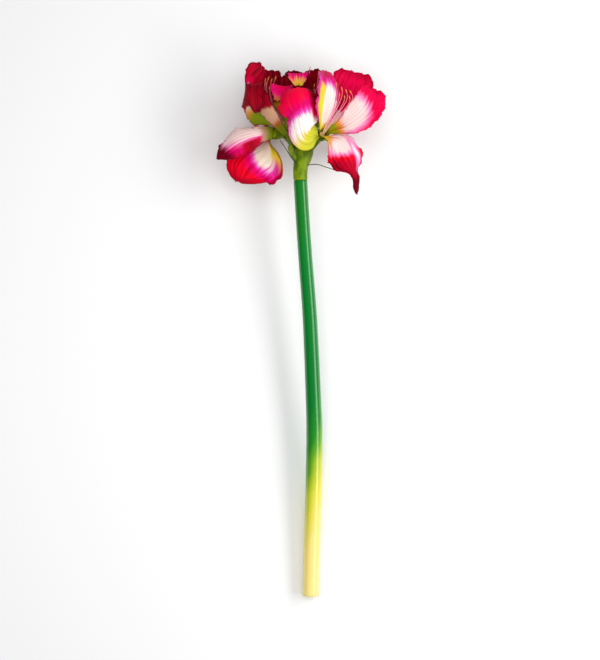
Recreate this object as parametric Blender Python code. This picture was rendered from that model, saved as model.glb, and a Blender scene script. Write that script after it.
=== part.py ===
"""Cut amaryllis with four open blooms on a smooth stem, lying on its back on a flat surface.

The flower is drawn in its own frame, in millimetres: X to the right, Y along the stem towards the
blooms, Z away from the surface, with the middle of the stem's top face near the origin. An empty then
lays the flower down, so that two petals and the cut end of the stem touch the surface z = 0.
"""

import math

import bpy
import numpy as np

MM = 0.001

# How the flower lies: turned about X and then about Y, in degrees, and moved, in millimetres.
LYING_TILT = 4.828
LYING_ROLL = 0.995
LYING_SHIFT = (3.959, 237.315, 59.925)

# Stem: a gently bowed round rod. Each row is a height along Y, the centre's offset along X and a radius.
STEM_COURSE = [
    (-586, 8.5, 10.6),
    (-538, 9.7, 10.6),
    (-460, 12.3, 10.8),
    (-382, 13.6, 10.6),
    (-330, 12.3, 10.1),
    (-226, 7.8, 9.5),
    (-148, 2.0, 9.2),
    (-96, -1.6, 9.0),
    (-44.3, -4.6, 9.0),
]
STEM_SIDES = 20
STEM_RINGS = 22

# Neck: the paler head of the stem, closed by a low dome from which the flower stalks grow.
NECK_COURSE = [
    (-44.0, -4.6, 9.2),
    (-34, -4.9, 9.3),
    (-24, -4.0, 9.9),
    (-14, -1.4, 11.4),
    (-6, 0.2, 12.2),
    (-1, 0.6, 10.5),
    (2, 0.6, 4.0),
]
NECK_SIDES = 16
NECK_RINGS = 9
STALK_SIDES = 10
STALK_START = (0, -12, 0)
STALK_STRAIGHT = 14
STALK_RADII = [5.0, 5.2, 5.4, 5.8, 6.8, 8.7]

# Threads and the small bract on the neck, each a course of points.
THREADS = {
    "thread_left": [(-6, -26, 4), (-15, -17, 10), (-24, -3, 10), (-32, 9, 6)],
    "thread_right": [(0, -25, 3), (9, -24, 7), (18, -24, 9), (29, -27.5, 9), (40.5, -31, 7)],
}
THREAD_RADIUS = 0.55
THREAD_SIDES = 5
THREAD_RINGS = 13
BRACT_COURSE = [(-8, -22, 4), (-14, -12, 8), (-17.5, -3, 9), (-18.5, 5, 8)]
BRACT_RADII = [2.0, 3.6, 3.4, 0.9]
BRACT_SIDES = 6
BRACT_RINGS = 8

PETAL_THICKNESS = 0.9
PETAL_GRIDS = {"seen": (12, 8), "hidden": (8, 6)}  # rows and columns of the faceted petal
NARROWEST = 1.2
TOUCH_GAP = 0.3

# Steps that the smooth curves are worked out in, before the faceted petal takes its rows from them.
MIDRIB_STEPS = 96
SECTION_STEPS = 48
SPAN_STEPS = 24
SMOOTHING_REACH = 9

# Where, as shares of a petal's length, it stops hugging its neighbours, starts to be wider on one side
# and its edge starts to wave.
HUG_MOST = 1.2
HUG_LOOSENED = 0.12
HUG_ENDS = (0.10, 0.42)
LEAN_ENDS = (0.08, 0.3)
WAVES_START = (0.15, 0.45)
WAVE_POWER = 2.5
WAVE_LAG = 1.9

# Each whorl: the radius of the ring that its petals' feet stand on, where it opens, how closely its
# petals wrap the bloom's axis, the most that half a petal is as a share of its reach from that axis,
# and the reach past which it may widen faster, by the share after that.
WHORLS = {
    "outer": {"radius": 7.6, "rise": 9, "spread": 13.5, "hug": 0.55, "crowding": 0.8, "free": 13.7},
    "inner": {"radius": 5.0, "rise": 16, "spread": 9.0, "hug": 1.0, "crowding": 0.62, "free": 9.0},
}
WIDENING = 1.2
FOOT_LIFT = 0.3
FOOT_RISE = 6
FOOT_LEAN = 0.5
OPENING_LOOKS_UP = 0.5

# Stamens: how far each one sways out of its bunch's fan, and by how many millimetres at its root and
# along its course. Their roots start inside the seat.
STAMEN_SWAYS = [-1.0, 0.7, -0.3, 1.0, -0.8, 0.4, 0.9]
SWAY_AT_ROOT = 0.8
SWAY_ALONG = [1.0, 2.0, 2.6, 1.2]
STAMEN_RADIUS = 0.7
ANTHER_RADIUS = 1.15
ANTHER_TIP_RADIUS = 0.4
STAMEN_SIDES = 5
STAMEN_RINGS = 10
STAMEN_STEPS = 100
ROOT_FAN = 1.4
ROOT_RISE = 6
SEAT_RADIUS = 3.4
SEAT_TOP_RADIUS = 2.4
SEAT_HEIGHT = 3.0
SEAT_SIDES = 10
SEAT_SINK = 1.0

# Half width along a petal, as shares of its widest half width, from foot to tip.
OUTLINES = {
    "broad": [(0.0, 0.3), (0.12, 0.4), (0.3, 0.74), (0.55, 1.0), (0.76, 0.88), (0.91, 0.52), (1.0, 0.07)],
    "full": [(0.0, 0.26), (0.1, 0.4), (0.25, 0.8), (0.5, 1.0), (0.78, 0.9), (0.93, 0.55), (1.0, 0.12)],
    "blunt": [(0.0, 0.26), (0.1, 0.38), (0.25, 0.74), (0.5, 0.94), (0.72, 1.0), (0.9, 0.8), (1.0, 0.36)],
    "square": [(0.0, 0.26), (0.1, 0.36), (0.25, 0.58), (0.5, 0.8), (0.76, 1.0), (0.92, 0.95), (1.0, 0.66)],
    "spoon": [(0.0, 0.2), (0.2, 0.34), (0.4, 0.74), (0.65, 1.0), (0.84, 0.96), (0.94, 0.8), (1.0, 0.48)],
    "leaf": [(0.0, 0.3), (0.12, 0.36), (0.3, 0.54), (0.5, 0.92), (0.68, 1.0), (0.88, 0.62), (1.0, 0.07)],
    "narrow": [(0.0, 0.3), (0.15, 0.44), (0.4, 0.86), (0.6, 1.0), (0.8, 0.76), (0.93, 0.38), (1.0, 0.06)],
    "ribbon": [(0.0, 0.3), (0.15, 0.44), (0.4, 0.9), (0.6, 1.0), (0.8, 0.84), (0.93, 0.66), (1.0, 0.3)],
    "fan": [(0.0, 0.2), (0.12, 0.46), (0.24, 0.9), (0.38, 1.0), (0.6, 0.98), (0.8, 0.84), (0.93, 0.54),
            (1.0, 0.15)],
    "shield": [(0.0, 0.26), (0.12, 0.4), (0.24, 0.74), (0.38, 0.8), (0.6, 0.84), (0.78, 1.0), (0.9, 0.95),
               (1.0, 0.62)],
    "tailed": [(0.0, 0.2), (0.12, 0.36), (0.28, 0.8), (0.44, 0.98), (0.6, 1.0), (0.67, 0.8), (0.72, 0.4),
               (0.77, 0.23), (0.93, 0.18), (1.0, 0.05)],
}

# Each petal: the azimuth of its foot round the bloom's axis, the course of its midrib, which way its
# inner face looks along that course, its widest half width, how much it is hollowed (positive) or
# arched (negative) across, and the height, number and phase of the waves in its edge. A lean is the share
# by which one side is wider than the other.
BLOOMS = {
    "right": {
        "throat": (23, 14, 18),
        "axis": (0.32, 0.20, 0.92),
        "petals": [
            {"name": "front", "whorl": "outer", "azimuth": 190, "grid": "seen",
             "path": [(4, 14, 40), (-1, 35, 48), (-9, 57, 46), (-11, 72, 38)],
             "face": [(0.0, -0.1, 1.0), (0.0, 0.0, 1.0), (-0.1, 0.2, 0.95), (-0.1, 0.5, 0.8)],
             "width": 30.5, "outline": "shield", "cup": -0.95, "ruffle": (1.9, 3.0, 0.4)},
            {"name": "upper", "whorl": "inner", "azimuth": 130, "grid": "seen",
             "path": [(27, 50, 37), (30, 75, 30), (26, 97, 17)],
             "face": [(0.6, 0.0, 0.8), (0.6, 0.0, 0.8), (0.5, 0.1, 0.8)],
             "width": 18.5, "outline": "full", "cup": 0.4, "ruffle": (1.4, 4.0, 1.0)},
            {"name": "back", "whorl": "outer", "azimuth": 70, "grid": "seen",
             "path": [(49, 50, 2), (61, 76, -6), (67, 99, -8)],
             "face": [(-0.1, -0.1, 1.0), (-0.1, 0.0, 1.0), (0.1, 0.2, 0.95)],
             "width": 28, "outline": "square", "cup": 0.2, "ruffle": (2.6, 3.5, 2.0)},
            {"name": "side", "whorl": "inner", "azimuth": 13, "grid": "seen",
             "path": [(60, 30, 38), (79, 49, 32), (89, 74, 20)],
             "face": [(-0.1, 0.1, 1.0), (0.05, 0.0, 1.0), (0.3, 0.1, 0.95)],
             "width": 21, "outline": "spoon", "cup": 0.2, "ruffle": (2.2, 3.0, 0.0), "lean": 0.14},
            {"name": "rear", "whorl": "outer", "azimuth": -50, "grid": "hidden",
             "path": [(47, 2, 8), (53, 3, -16), (57, 8, -38), (60, 13, -60)],
             "face": [(0.5, 0.6, 0.6), (0.4, 0.85, 0.25), (0.4, 0.85, 0.25), (0.5, 0.75, 0.3)],
             "width": 17, "outline": "broad", "cup": 0.2, "ruffle": (1.4, 2.0, 0.0)},
            {"name": "lower", "whorl": "inner", "azimuth": -110, "grid": "seen",
             "path": [(46, 4, 37), (56, -13, 37), (64, -33, 34), (68, -47, 32), (68, -64, 30)],
             "face": [(0.0, 0.35, 0.95), (0.1, 0.0, 1.0), (0.2, 0.0, 1.0), (0.3, 0.0, 1.0), (0.3, 0.0, 1.0)],
             "width": 24, "outline": "tailed", "cup": -0.75, "ruffle": (1.8, 4.0, 0.0), "lean": 0.14},
        ],
        "stamens": [[(41, 31, 40), (54, 43, 46), (62, 55, 48), (58, 67, 48)],
                    [(31, 32, 41), (38, 48, 46), (42, 64, 46), (41, 80, 44)]],
        "reaches": [1.0, 0.9, 0.97, 0.86, 0.95, 0.84, 1.0],
    },
    "left": {
        "throat": (-20, 16, 2),
        "axis": (-0.42, 0.78, 0.46),
        "petals": [
            {"name": "tongue", "whorl": "outer", "azimuth": -95, "grid": "seen",
             "path": [(-48, 42, 35), (-56, 59, 41), (-60, 72, 43), (-62, 74, 50), (-63, 63, 54),
                      (-61, 38, 52)],
             "face": [(0.3, 0.4, -0.8), (0.3, 0.4, -0.8), (0.3, 0.8, -0.5), (-0.4, 0.8, 0.4), (0.1, 0.2, 1.0),
                      (0.2, 0.1, 1.0)],
             "width": 12, "outline": "ribbon", "cup": 0.4, "ruffle": (0.8, 3.0, 0.0)},
            {"name": "right", "whorl": "inner", "azimuth": -35, "grid": "seen",
             "path": [(-23, 46, 16), (-26, 62, 15), (-27, 74, 15), (-28, 76, 21), (-31, 67, 25),
                      (-36, 57, 25)],
             "face": [(0.3, 0.3, -0.9), (0.2, 0.4, -0.9), (0.1, 0.8, -0.6), (0.0, 0.8, 0.6), (0.0, 0.2, 1.0),
                      (0.0, 0.1, 1.0)],
             "width": 17, "outline": "ribbon", "cup": 0.4, "ruffle": (0.8, 3.0, 0.0)},
            {"name": "near", "whorl": "outer", "azimuth": 25, "grid": "hidden",
             "path": [(-18, 50, -1), (-23, 72, -6), (-25, 95, -9)],
             "face": [(-0.5, 0.0, 0.85), (-0.4, 0.0, 0.9), (-0.3, 0.0, 0.95)],
             "width": 7, "outline": "blunt", "cup": 0.3, "ruffle": (0.8, 3.0, 2.0)},
            {"name": "back", "whorl": "inner", "azimuth": 85, "grid": "seen",
             "path": [(-38, 54, -13.5), (-43, 78, -19), (-43, 102, -16)],
             "face": [(0.0, -0.1, 1.0), (0.0, 0.0, 1.0), (0.0, -0.1, 1.0)],
             "width": 15.5, "outline": "square", "cup": 0.3, "ruffle": (1.8, 4.0, 1.0)},
            {"name": "far", "whorl": "outer", "azimuth": 135, "grid": "hidden",
             "path": [(-45, 45, -17), (-58, 64, -26), (-62, 84, -26), (-57, 100, -22)],
             "face": [(0.6, -0.1, 0.7), (0.7, -0.2, 0.6), (0.7, -0.2, 0.7), (0.5, -0.2, 0.8)],
             "width": 13, "outline": "narrow", "cup": 0.3, "ruffle": (1.2, 3.0, 0.0)},
            {"name": "side", "whorl": "inner", "azimuth": -155, "grid": "seen",
             "path": [(-53, 32.5, 12), (-71, 46, 10), (-77, 67, 7), (-70, 88, 2), (-54, 106, -2)],
             "face": [(0.3, 0.7, -0.6), (0.6, 0.4, -0.6), (0.8, 0.1, -0.3), (0.6, -0.1, 0.7),
                      (0.4, -0.2, 0.9)],
             "width": 21, "outline": "blunt", "cup": 0.4, "ruffle": (1.8, 4.0, 0.0)},
        ],
        "stamens": [[(-28, 36, 7), (-37, 54, 0), (-40, 76, -4), (-36, 93, -4)],
                    [(-34, 38, 10), (-47, 56, 6), (-52, 78, 2), (-49, 96, 0)]],
        "reaches": [1.0, 0.85, 0.95, 0.82, 0.97, 0.88, 0.93],
    },
    "middle": {
        "throat": (6, 20, -18),
        "axis": (0.08, 0.82, -0.56),
        "petals": [
            {"name": "front", "whorl": "inner", "azimuth": -90, "grid": "seen",
             "path": [(2, 52, -6), (-3, 76, 6), (-7, 90, 16), (-8, 91, 26), (-8, 76, 30)],
             "face": [(0.0, 0.3, -0.9), (0.0, 0.4, -0.9), (0.0, 0.8, -0.5), (0.0, 0.7, 0.7), (0.0, 0.2, 1.0)],
             "width": 15.5, "outline": "blunt", "cup": 0.3, "ruffle": (0.6, 3.0, 0.0)},
            {"name": "right", "whorl": "outer", "azimuth": -30, "grid": "hidden",
             "path": [(27, 54, -14), (29, 72, -16), (31, 86, -18)],
             "face": [(-0.8, 0.2, -0.2), (-0.9, 0.1, -0.1), (-0.9, 0.1, 0.0)],
             "width": 9.5, "outline": "broad", "cup": 0.2, "ruffle": (1.0, 2.0, 0.0)},
            {"name": "topright", "whorl": "inner", "azimuth": 30, "grid": "seen",
             "path": [(14, 60, -34), (14, 84, -30), (9, 103, -20)],
             "face": [(-0.3, 0.0, 1.0), (-0.3, 0.0, 1.0), (-0.1, -0.3, 0.9)],
             "width": 16, "outline": "square", "cup": 0.4, "ruffle": (2.0, 4.0, 2.0)},
            {"name": "rear", "whorl": "outer", "azimuth": 96, "grid": "hidden",
             "path": [(2, 44, -46), (0, 66, -51), (-3, 88, -50)],
             "face": [(0.0, 0.3, 1.0), (0.0, 0.1, 1.0), (0.0, 0.0, 1.0)],
             "width": 19, "outline": "spoon", "cup": 0.2, "ruffle": (1.6, 3.0, 0.0)},
            {"name": "topleft", "whorl": "inner", "azimuth": 150, "grid": "seen",
             "path": [(-10, 60, -36), (-13, 84, -35), (-12, 103, -27)],
             "face": [(0.3, 0.0, 1.0), (0.2, 0.0, 1.0), (0.1, -0.3, 0.9)],
             "width": 14, "outline": "square", "cup": 0.3, "ruffle": (1.8, 4.0, 0.0)},
            {"name": "left", "whorl": "outer", "azimuth": -150, "grid": "hidden",
             "path": [(-13, 46, -14), (-15, 64, -14), (-15, 80, -14)],
             "face": [(0.8, 0.1, -0.2), (0.8, 0.0, 0.1), (0.8, 0.0, 0.3)],
             "width": 7.5, "outline": "broad", "cup": 0.2, "ruffle": (0.8, 2.0, 0.0)},
        ],
        "stamens": [[(6, 44, -27), (4, 66, -26), (6, 90, -20), (8, 107, -14)],
                    [(10, 44, -28), (14, 66, -24), (18, 86, -16), (20, 102, -10)]],
        "reaches": [1.0, 0.72, 0.8, 0.68, 0.77, 0.7, 1.0],
    },
    "low": {
        "throat": (-38, 19, -14),
        "axis": (-0.86, 0.0, 0.30),
        "petals": [
            {"name": "fold", "whorl": "outer", "azimuth": -5, "grid": "seen",
             "path": [(-58, 15, 15), (-74, 11, 19), (-92, 2, 20), (-113, -17, 14)],
             "face": [(0.0, -0.2, -1.0), (0.0, -0.3, -0.95), (0.0, -0.4, -0.9), (0.1, -0.3, -0.9)],
             "width": 21.5, "outline": "leaf", "cup": 0.9, "ruffle": (1.8, 3.0, 0.0)},
            {"name": "lining", "whorl": "inner", "azimuth": -60, "grid": "hidden",
             "path": [(-60, 6, 0), (-70, 1, 2), (-79, -4, 2)],
             "face": [(0.0, 0.7, -0.6), (0.0, 0.7, -0.6), (0.0, 0.7, -0.6)],
             "width": 8.5, "outline": "broad", "cup": 0.3, "ruffle": (0.6, 2.0, 0.0)},
            {"name": "broad", "whorl": "outer", "azimuth": -110, "grid": "seen",
             "path": [(-54, -3, -12), (-68, -14, -6), (-80, -28, 0), (-86, -46, 1)],
             "face": [(-0.3, 0.4, 0.9), (-0.1, 0.2, 1.0), (0.0, 0.0, 1.0), (0.0, -0.1, 1.0)],
             "width": 36, "outline": "fan", "cup": -0.35, "ruffle": (2.6, 4.0, 0.0), "lean": -0.26},
            {"name": "end", "whorl": "inner", "azimuth": -165, "grid": "hidden",
             "path": [(-66, 17.5, -30.5), (-79, 12, -42), (-91, 3, -50)],
             "face": [(-0.4, 0.2, 0.9), (-0.3, 0.3, 0.9), (-0.3, 0.3, 0.9)],
             "width": 12, "outline": "spoon", "cup": -0.2, "ruffle": (1.4, 2.0, 0.0)},
            {"name": "rear", "whorl": "outer", "azimuth": 145, "grid": "hidden",
             "path": [(-53, 26, -38), (-59, 20, -51), (-70, 13, -62)],
             "face": [(-0.7, -0.1, 0.7), (-0.6, 0.0, 0.8), (-0.5, 0.1, 0.9)],
             "width": 17, "outline": "broad", "cup": 0.1, "ruffle": (1.4, 2.0, 0.0)},
            {"name": "top", "whorl": "inner", "azimuth": 100, "grid": "hidden",
             "path": [(-57, 31.5, -19), (-62, 36, -32), (-68, 40, -44)],
             "face": [(-0.6, -0.4, 0.7), (-0.6, -0.2, 0.7), (-0.5, 0.1, 0.8)],
             "width": 13, "outline": "broad", "cup": 0.1, "ruffle": (1.2, 2.0, 0.0)},
        ],
        "stamens": [[(-50, 17, -8), (-58, 14, -6), (-66, 10, -4), (-75, 6, -4)],
                    [(-50, 19, -11), (-60, 18, -11), (-70, 15, -11), (-80, 9, -11)]],
        "reaches": [1.0, 0.9, 0.96, 0.86, 0.94, 0.84, 1.0],
    },
}


def unit(vector):
    vector = np.asarray(vector, float)
    return vector / np.linalg.norm(vector)


def eased(t):
    t = np.clip(t, 0, 1)
    return t * t * (3 - 2 * t)


def eased_between(u, start, end):
    return eased((u - start) / (end - start))


def smooth_curve(knots, samples):
    """Points at even lengths on a Catmull-Rom curve, and the share of the length at each knot."""
    knots = np.asarray(knots, float)
    ends = np.vstack([2 * knots[0] - knots[1], knots, 2 * knots[-1] - knots[-2]])
    t = np.linspace(0, 1, SPAN_STEPS, endpoint=False)[:, None]
    spans = [
        0.5 * (2 * b + (c - a) * t + (2 * a - 5 * b + 4 * c - d) * t**2 + (3 * b - a - 3 * c + d) * t**3)
        for a, b, c, d in zip(ends[:-3], ends[1:-2], ends[2:-1], ends[3:])
    ]
    dense = np.vstack([*spans, knots[-1:]])
    lengths = np.concatenate([[0], np.cumsum(np.linalg.norm(np.diff(dense[:, :3], axis=0), axis=1))])
    wanted = np.linspace(0, lengths[-1], samples)
    points = np.stack([np.interp(wanted, lengths, dense[:, k]) for k in range(dense.shape[1])], axis=1)
    return points, lengths[::SPAN_STEPS] / lengths[-1]


def smoothed(rows, reach):
    """Rows of vectors averaged twice over their neighbours, the ends held still."""
    for _ in range(2):
        padded = np.vstack([rows[:1].repeat(reach, axis=0), rows, rows[-1:].repeat(reach, axis=0)])
        total = np.cumsum(np.vstack([np.zeros((1, 3)), padded]), axis=0)
        rows = (total[2 * reach + 1 :] - total[: -2 * reach - 1]) / (2 * reach + 1)
    return rows / np.linalg.norm(rows, axis=1)[:, None]


def outline_shares(outline, u):
    """Shares of the widest half width at u, by a monotone cubic through the outline's points."""
    x, y = np.array(outline).T
    width, slope = np.diff(x), np.diff(y) / np.diff(x)
    tangent = np.concatenate([[slope[0]], np.zeros(len(x) - 2), [slope[-1]]])
    for k in range(1, len(x) - 1):
        if slope[k - 1] * slope[k] > 0:
            tangent[k] = 2 / (1 / slope[k - 1] + 1 / slope[k])
    at = np.clip(np.searchsorted(x, u, side="right") - 1, 0, len(x) - 2)
    h = width[at]
    t = (u - x[at]) / h
    return (
        (2 * t**3 - 3 * t**2 + 1) * y[at]
        + (t**3 - 2 * t**2 + t) * h * tangent[at]
        + (3 * t**2 - 2 * t**3) * y[at + 1]
        + (t**3 - t**2) * h * tangent[at + 1]
    )


def bloom_frame(axis):
    """A bloom's axis with two unit vectors across it: the directions of azimuth 0 and azimuth 90."""
    axis = unit(axis)
    across = unit(np.array([1.0, 0, 0]) - axis[0] * axis)
    return axis, across, np.cross(axis, across)


def running_sum(slopes, step):
    """Distances across a petal's section, measured from its middle."""
    halves = (slopes[:, 1:] + slopes[:, :-1]) / 2 * step
    total = np.concatenate([np.zeros((len(slopes), 1)), np.cumsum(halves, axis=1)], axis=1)
    return total - total[:, [SECTION_STEPS // 2]]


def petal_grid(bloom, petal, rows, columns):
    """Middle surface of one petal: a grid of points with row 0 at its foot."""
    axis, across, over = bloom_frame(bloom["axis"])
    whorl = WHORLS[petal["whorl"]]
    turn = math.radians(petal["azimuth"])
    radial = math.cos(turn) * across + math.sin(turn) * over
    throat = np.array(bloom["throat"], float)
    foot = throat + FOOT_LIFT * axis + whorl["radius"] * radial
    collar = foot + FOOT_RISE * axis + FOOT_LEAN * radial
    opening = throat + whorl["rise"] * axis + whorl["spread"] * radial
    middle, knots_at = smooth_curve([foot, collar, opening, *petal["path"]], MIDRIB_STEPS + 1)
    along = np.gradient(middle, axis=0)
    along[0] = axis
    along /= np.linalg.norm(along, axis=1)[:, None]

    u = np.linspace(0, 1, MIDRIB_STEPS + 1)
    opening_look = OPENING_LOOKS_UP * axis - radial
    looks = np.array([-radial, -radial, opening_look, *[unit(look) for look in petal["face"]]])
    look = np.stack([np.interp(u, knots_at, looks[:, k]) for k in range(3)], axis=1)
    side = np.cross(along, look)
    side = smoothed(side / np.linalg.norm(side, axis=1)[:, None], SMOOTHING_REACH)
    face = np.cross(side, along)
    face /= np.linalg.norm(face, axis=1)[:, None]

    half = np.maximum(petal["width"] * outline_shares(OUTLINES[petal["outline"]], u), NARROWEST)
    offset = middle - throat
    reach = np.linalg.norm(offset - (offset @ axis)[:, None] * axis, axis=1)
    beyond = np.maximum(0, reach - whorl["free"])
    half = np.minimum(half, whorl["crowding"] * reach + WIDENING * beyond)
    loosening = 1 + (whorl["hug"] - 1) * eased(u / HUG_LOOSENED)
    hug = np.minimum(half / reach, HUG_MOST) * loosening
    cup = hug + (petal["cup"] - hug) * eased_between(u, *HUG_ENDS)
    v = np.linspace(-1, 1, SECTION_STEPS + 1)
    angle = cup[:, None] * v
    step = half[:, None] * (v[1] - v[0])
    x, z = running_sum(np.cos(angle), step), running_sum(np.sin(angle), step)
    leaning = 1 + petal.get("lean", 0) * eased_between(u, *LEAN_ENDS)[:, None] * np.sign(v)
    x, z = x * leaning, z * leaning

    height, waves, phase = petal["ruffle"]
    wave = np.sin(2 * np.pi * waves * u[:, None] + phase + np.where(v < 0, 0.0, WAVE_LAG))
    swell = eased_between(u, *WAVES_START) * np.minimum(1, 2 * half / petal["width"])
    lift = height * wave * swell[:, None] * np.abs(v) ** WAVE_POWER
    x, z = x - np.sin(angle) * lift, z + np.cos(angle) * lift
    grid = middle[:, None] + side[:, None] * x[:, :, None] + face[:, None] * z[:, :, None]
    return grid[:: MIDRIB_STEPS // rows, :: SECTION_STEPS // columns]


def mesh_object(name, points, faces, material):
    mesh = bpy.data.meshes.new(name)
    corners = (np.asarray(points) * MM).tolist()
    mesh.from_pydata(corners, [], [tuple(map(int, face)) for face in faces])
    mesh.materials.append(material)
    obj = bpy.data.objects.new(name, mesh)
    bpy.context.scene.collection.objects.link(obj)
    return obj


def sheet_solid(name, grid, material):
    """A petal from its middle surface, in triangles that mirror each other across the midrib."""
    rows, columns = grid.shape[0] - 1, grid.shape[1] - 1
    index = np.arange(grid.shape[0] * grid.shape[1]).reshape(rows + 1, columns + 1)
    faces = []
    for i in range(rows):
        for j in range(columns):
            a, b, c, d = index[i, j], index[i, j + 1], index[i + 1, j + 1], index[i + 1, j]
            faces.extend(((a, b, c), (a, c, d)) if j < columns / 2 else ((a, b, d), (b, c, d)))
    obj = mesh_object(name, grid.reshape(-1, 3), faces, material)
    solidify = obj.modifiers.new("thickness", "SOLIDIFY")
    solidify.thickness = PETAL_THICKNESS * MM
    solidify.offset = 0
    return obj


def tube_solid(name, course, radii, sides, material, end_facing=None):
    """Closed round tube along a course of points, with a radius for each point."""
    course = np.asarray(course, float)
    along = np.gradient(course, axis=0)
    if end_facing is not None:
        along[-1] = end_facing
    along /= np.linalg.norm(along, axis=1)[:, None]
    first = np.cross(along[0], (0.0, 0.0, 1.0) if abs(along[0][2]) < 0.9 else (1.0, 0.0, 0.0))
    turns = 2 * np.pi * (np.arange(sides) + 0.5) / sides
    points = []
    for centre, ahead, radius in zip(course, along, radii):
        first = unit(first - (first @ ahead) * ahead)
        second = np.cross(ahead, first)
        points.extend(centre + radius * (math.cos(t) * first + math.sin(t) * second) for t in turns)
    faces = []
    for ring in range(0, len(points) - sides, sides):
        for s in range(sides):
            a, b = ring + s, ring + (s + 1) % sides
            faces.append((a, b, b + sides, a + sides))
    last = len(points) - sides
    faces.append(tuple(range(sides - 1, -1, -1)))
    faces.append(tuple(range(last, last + sides)))
    return mesh_object(name, points, faces, material)


def joined(name, pieces):
    """One solid from overlapping pieces: the first piece with all the others united to it."""
    base, others = pieces[0], pieces[1:]
    group = bpy.data.collections.new(name + "_parts")
    for piece in others:
        group.objects.link(piece)
    union = base.modifiers.new("union", "BOOLEAN")
    union.operation = "UNION"
    union.operand_type = "COLLECTION"
    union.collection = group
    union.solver = "MANIFOLD"
    evaluated = base.evaluated_get(bpy.context.evaluated_depsgraph_get())
    mesh = bpy.data.meshes.new_from_object(evaluated)
    base.modifiers.clear()
    base.data = mesh
    base.name = name
    for piece in others:
        bpy.data.objects.remove(piece)
    bpy.data.collections.remove(group)
    return base


def plain_material(name, colour, roughness):
    material = bpy.data.materials.new(name)
    material.use_nodes = True
    shader = material.node_tree.nodes["Principled BSDF"]
    shader.inputs["Base Color"].default_value = (*colour, 1)
    shader.inputs["Roughness"].default_value = roughness
    material.diffuse_color = (*colour, 1)
    return material


def make_stem(material):
    course, _ = smooth_curve([(x, y, 0, radius) for y, x, radius in STEM_COURSE], STEM_RINGS)
    return tube_solid("stem", course[:, :3], course[:, 3], STEM_SIDES, material)


def make_neck(material):
    """The neck with the stalk of every bloom, the bract and the two threads grown out of it."""
    course, _ = smooth_curve([(x, y, 0, radius) for y, x, radius in NECK_COURSE], NECK_RINGS)
    pieces = [tube_solid("neck", course[:, :3], course[:, 3], NECK_SIDES, material)]
    for bloom in BLOOMS.values():
        end = np.array(bloom["throat"]) - TOUCH_GAP * unit(bloom["axis"])
        bend = end - STALK_STRAIGHT * unit(bloom["axis"])
        middle = (np.array(STALK_START) + bend) / 2
        stalk, _ = smooth_curve([STALK_START, middle, bend, end], len(STALK_RADII))
        pieces.append(tube_solid("stalk", stalk, STALK_RADII, STALK_SIDES, material, bloom["axis"]))
    for name, points in THREADS.items():
        thread, _ = smooth_curve(points, THREAD_RINGS)
        pieces.append(tube_solid(name, thread, [THREAD_RADIUS] * THREAD_RINGS, THREAD_SIDES, material))
    bract, _ = smooth_curve([(*p, radius) for p, radius in zip(BRACT_COURSE, BRACT_RADII)], BRACT_RINGS)
    pieces.append(tube_solid("bract", bract[:, :3], bract[:, 3], BRACT_SIDES, material))
    return joined("neck", pieces)


def make_stamens(bloom_name, bloom, material):
    """The stamens and the style of one bloom, fanned between two guide courses, on their seat."""
    axis = unit(bloom["axis"])
    base = np.array(bloom["throat"], float) + FOOT_LIFT * axis
    seat = [base, base + SEAT_HEIGHT / 2 * axis, base + SEAT_HEIGHT * axis]
    pieces = [tube_solid("seat", seat, [SEAT_RADIUS, SEAT_RADIUS, SEAT_TOP_RADIUS], SEAT_SIDES, material)]
    first, last = np.array(bloom["stamens"], float)
    fan = unit(last[0] - first[0])
    sway = unit(np.cross(axis, fan))
    radii = np.full(STAMEN_RINGS, STAMEN_RADIUS)
    radii[-3:] = ANTHER_RADIUS, ANTHER_RADIUS, ANTHER_TIP_RADIUS
    shares = np.linspace(0, 1, len(STAMEN_SWAYS))
    for share, lean, reach in zip(shares, STAMEN_SWAYS, bloom["reaches"]):
        guide = first + (last - first) * share + lean * np.outer(SWAY_ALONG, sway)
        root = base + SEAT_SINK * axis + ROOT_FAN * (2 * share - 1) * fan + SWAY_AT_ROOT * lean * sway
        dense, _ = smooth_curve([root, root + ROOT_RISE * axis, *guide], STAMEN_STEPS + 1)
        picks = np.linspace(0, STAMEN_STEPS * reach, STAMEN_RINGS).round().astype(int)
        pieces.append(tube_solid("stamen", dense[picks], radii, STAMEN_SIDES, material))
    return joined("stamens_" + bloom_name, pieces)


def lay_down(objects):
    """An empty that carries the whole flower into its lying place."""
    empty = bpy.data.objects.new("lying_flower", None)
    bpy.context.scene.collection.objects.link(empty)
    empty.rotation_euler = (math.radians(LYING_TILT), math.radians(LYING_ROLL), 0)
    empty.location = [c * MM for c in LYING_SHIFT]
    for obj in objects:
        obj.parent = empty
    bpy.context.view_layer.update()


def main():
    for obj in list(bpy.data.objects):
        bpy.data.objects.remove(obj)
    stem_green = plain_material("stem_green", (0.05, 0.42, 0.12), 0.3)
    neck_green = plain_material("neck_green", (0.22, 0.36, 0.03), 0.5)
    petal_red = plain_material("petal_red", (0.8, 0.02, 0.12), 0.7)
    filament_pink = plain_material("filament_pink", (0.85, 0.35, 0.35), 0.6)
    made = [make_stem(stem_green), make_neck(neck_green)]
    for bloom_name, bloom in BLOOMS.items():
        for petal in bloom["petals"]:
            grid = petal_grid(bloom, petal, *PETAL_GRIDS[petal["grid"]])
            made.append(sheet_solid(f"petal_{bloom_name}_{petal['name']}", grid, petal_red))
        made.append(make_stamens(bloom_name, bloom, filament_pink))
    lay_down(made)


main()
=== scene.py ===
import functools
import math

import bpy
import numpy as np
from mathutils import Matrix, Vector


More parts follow.
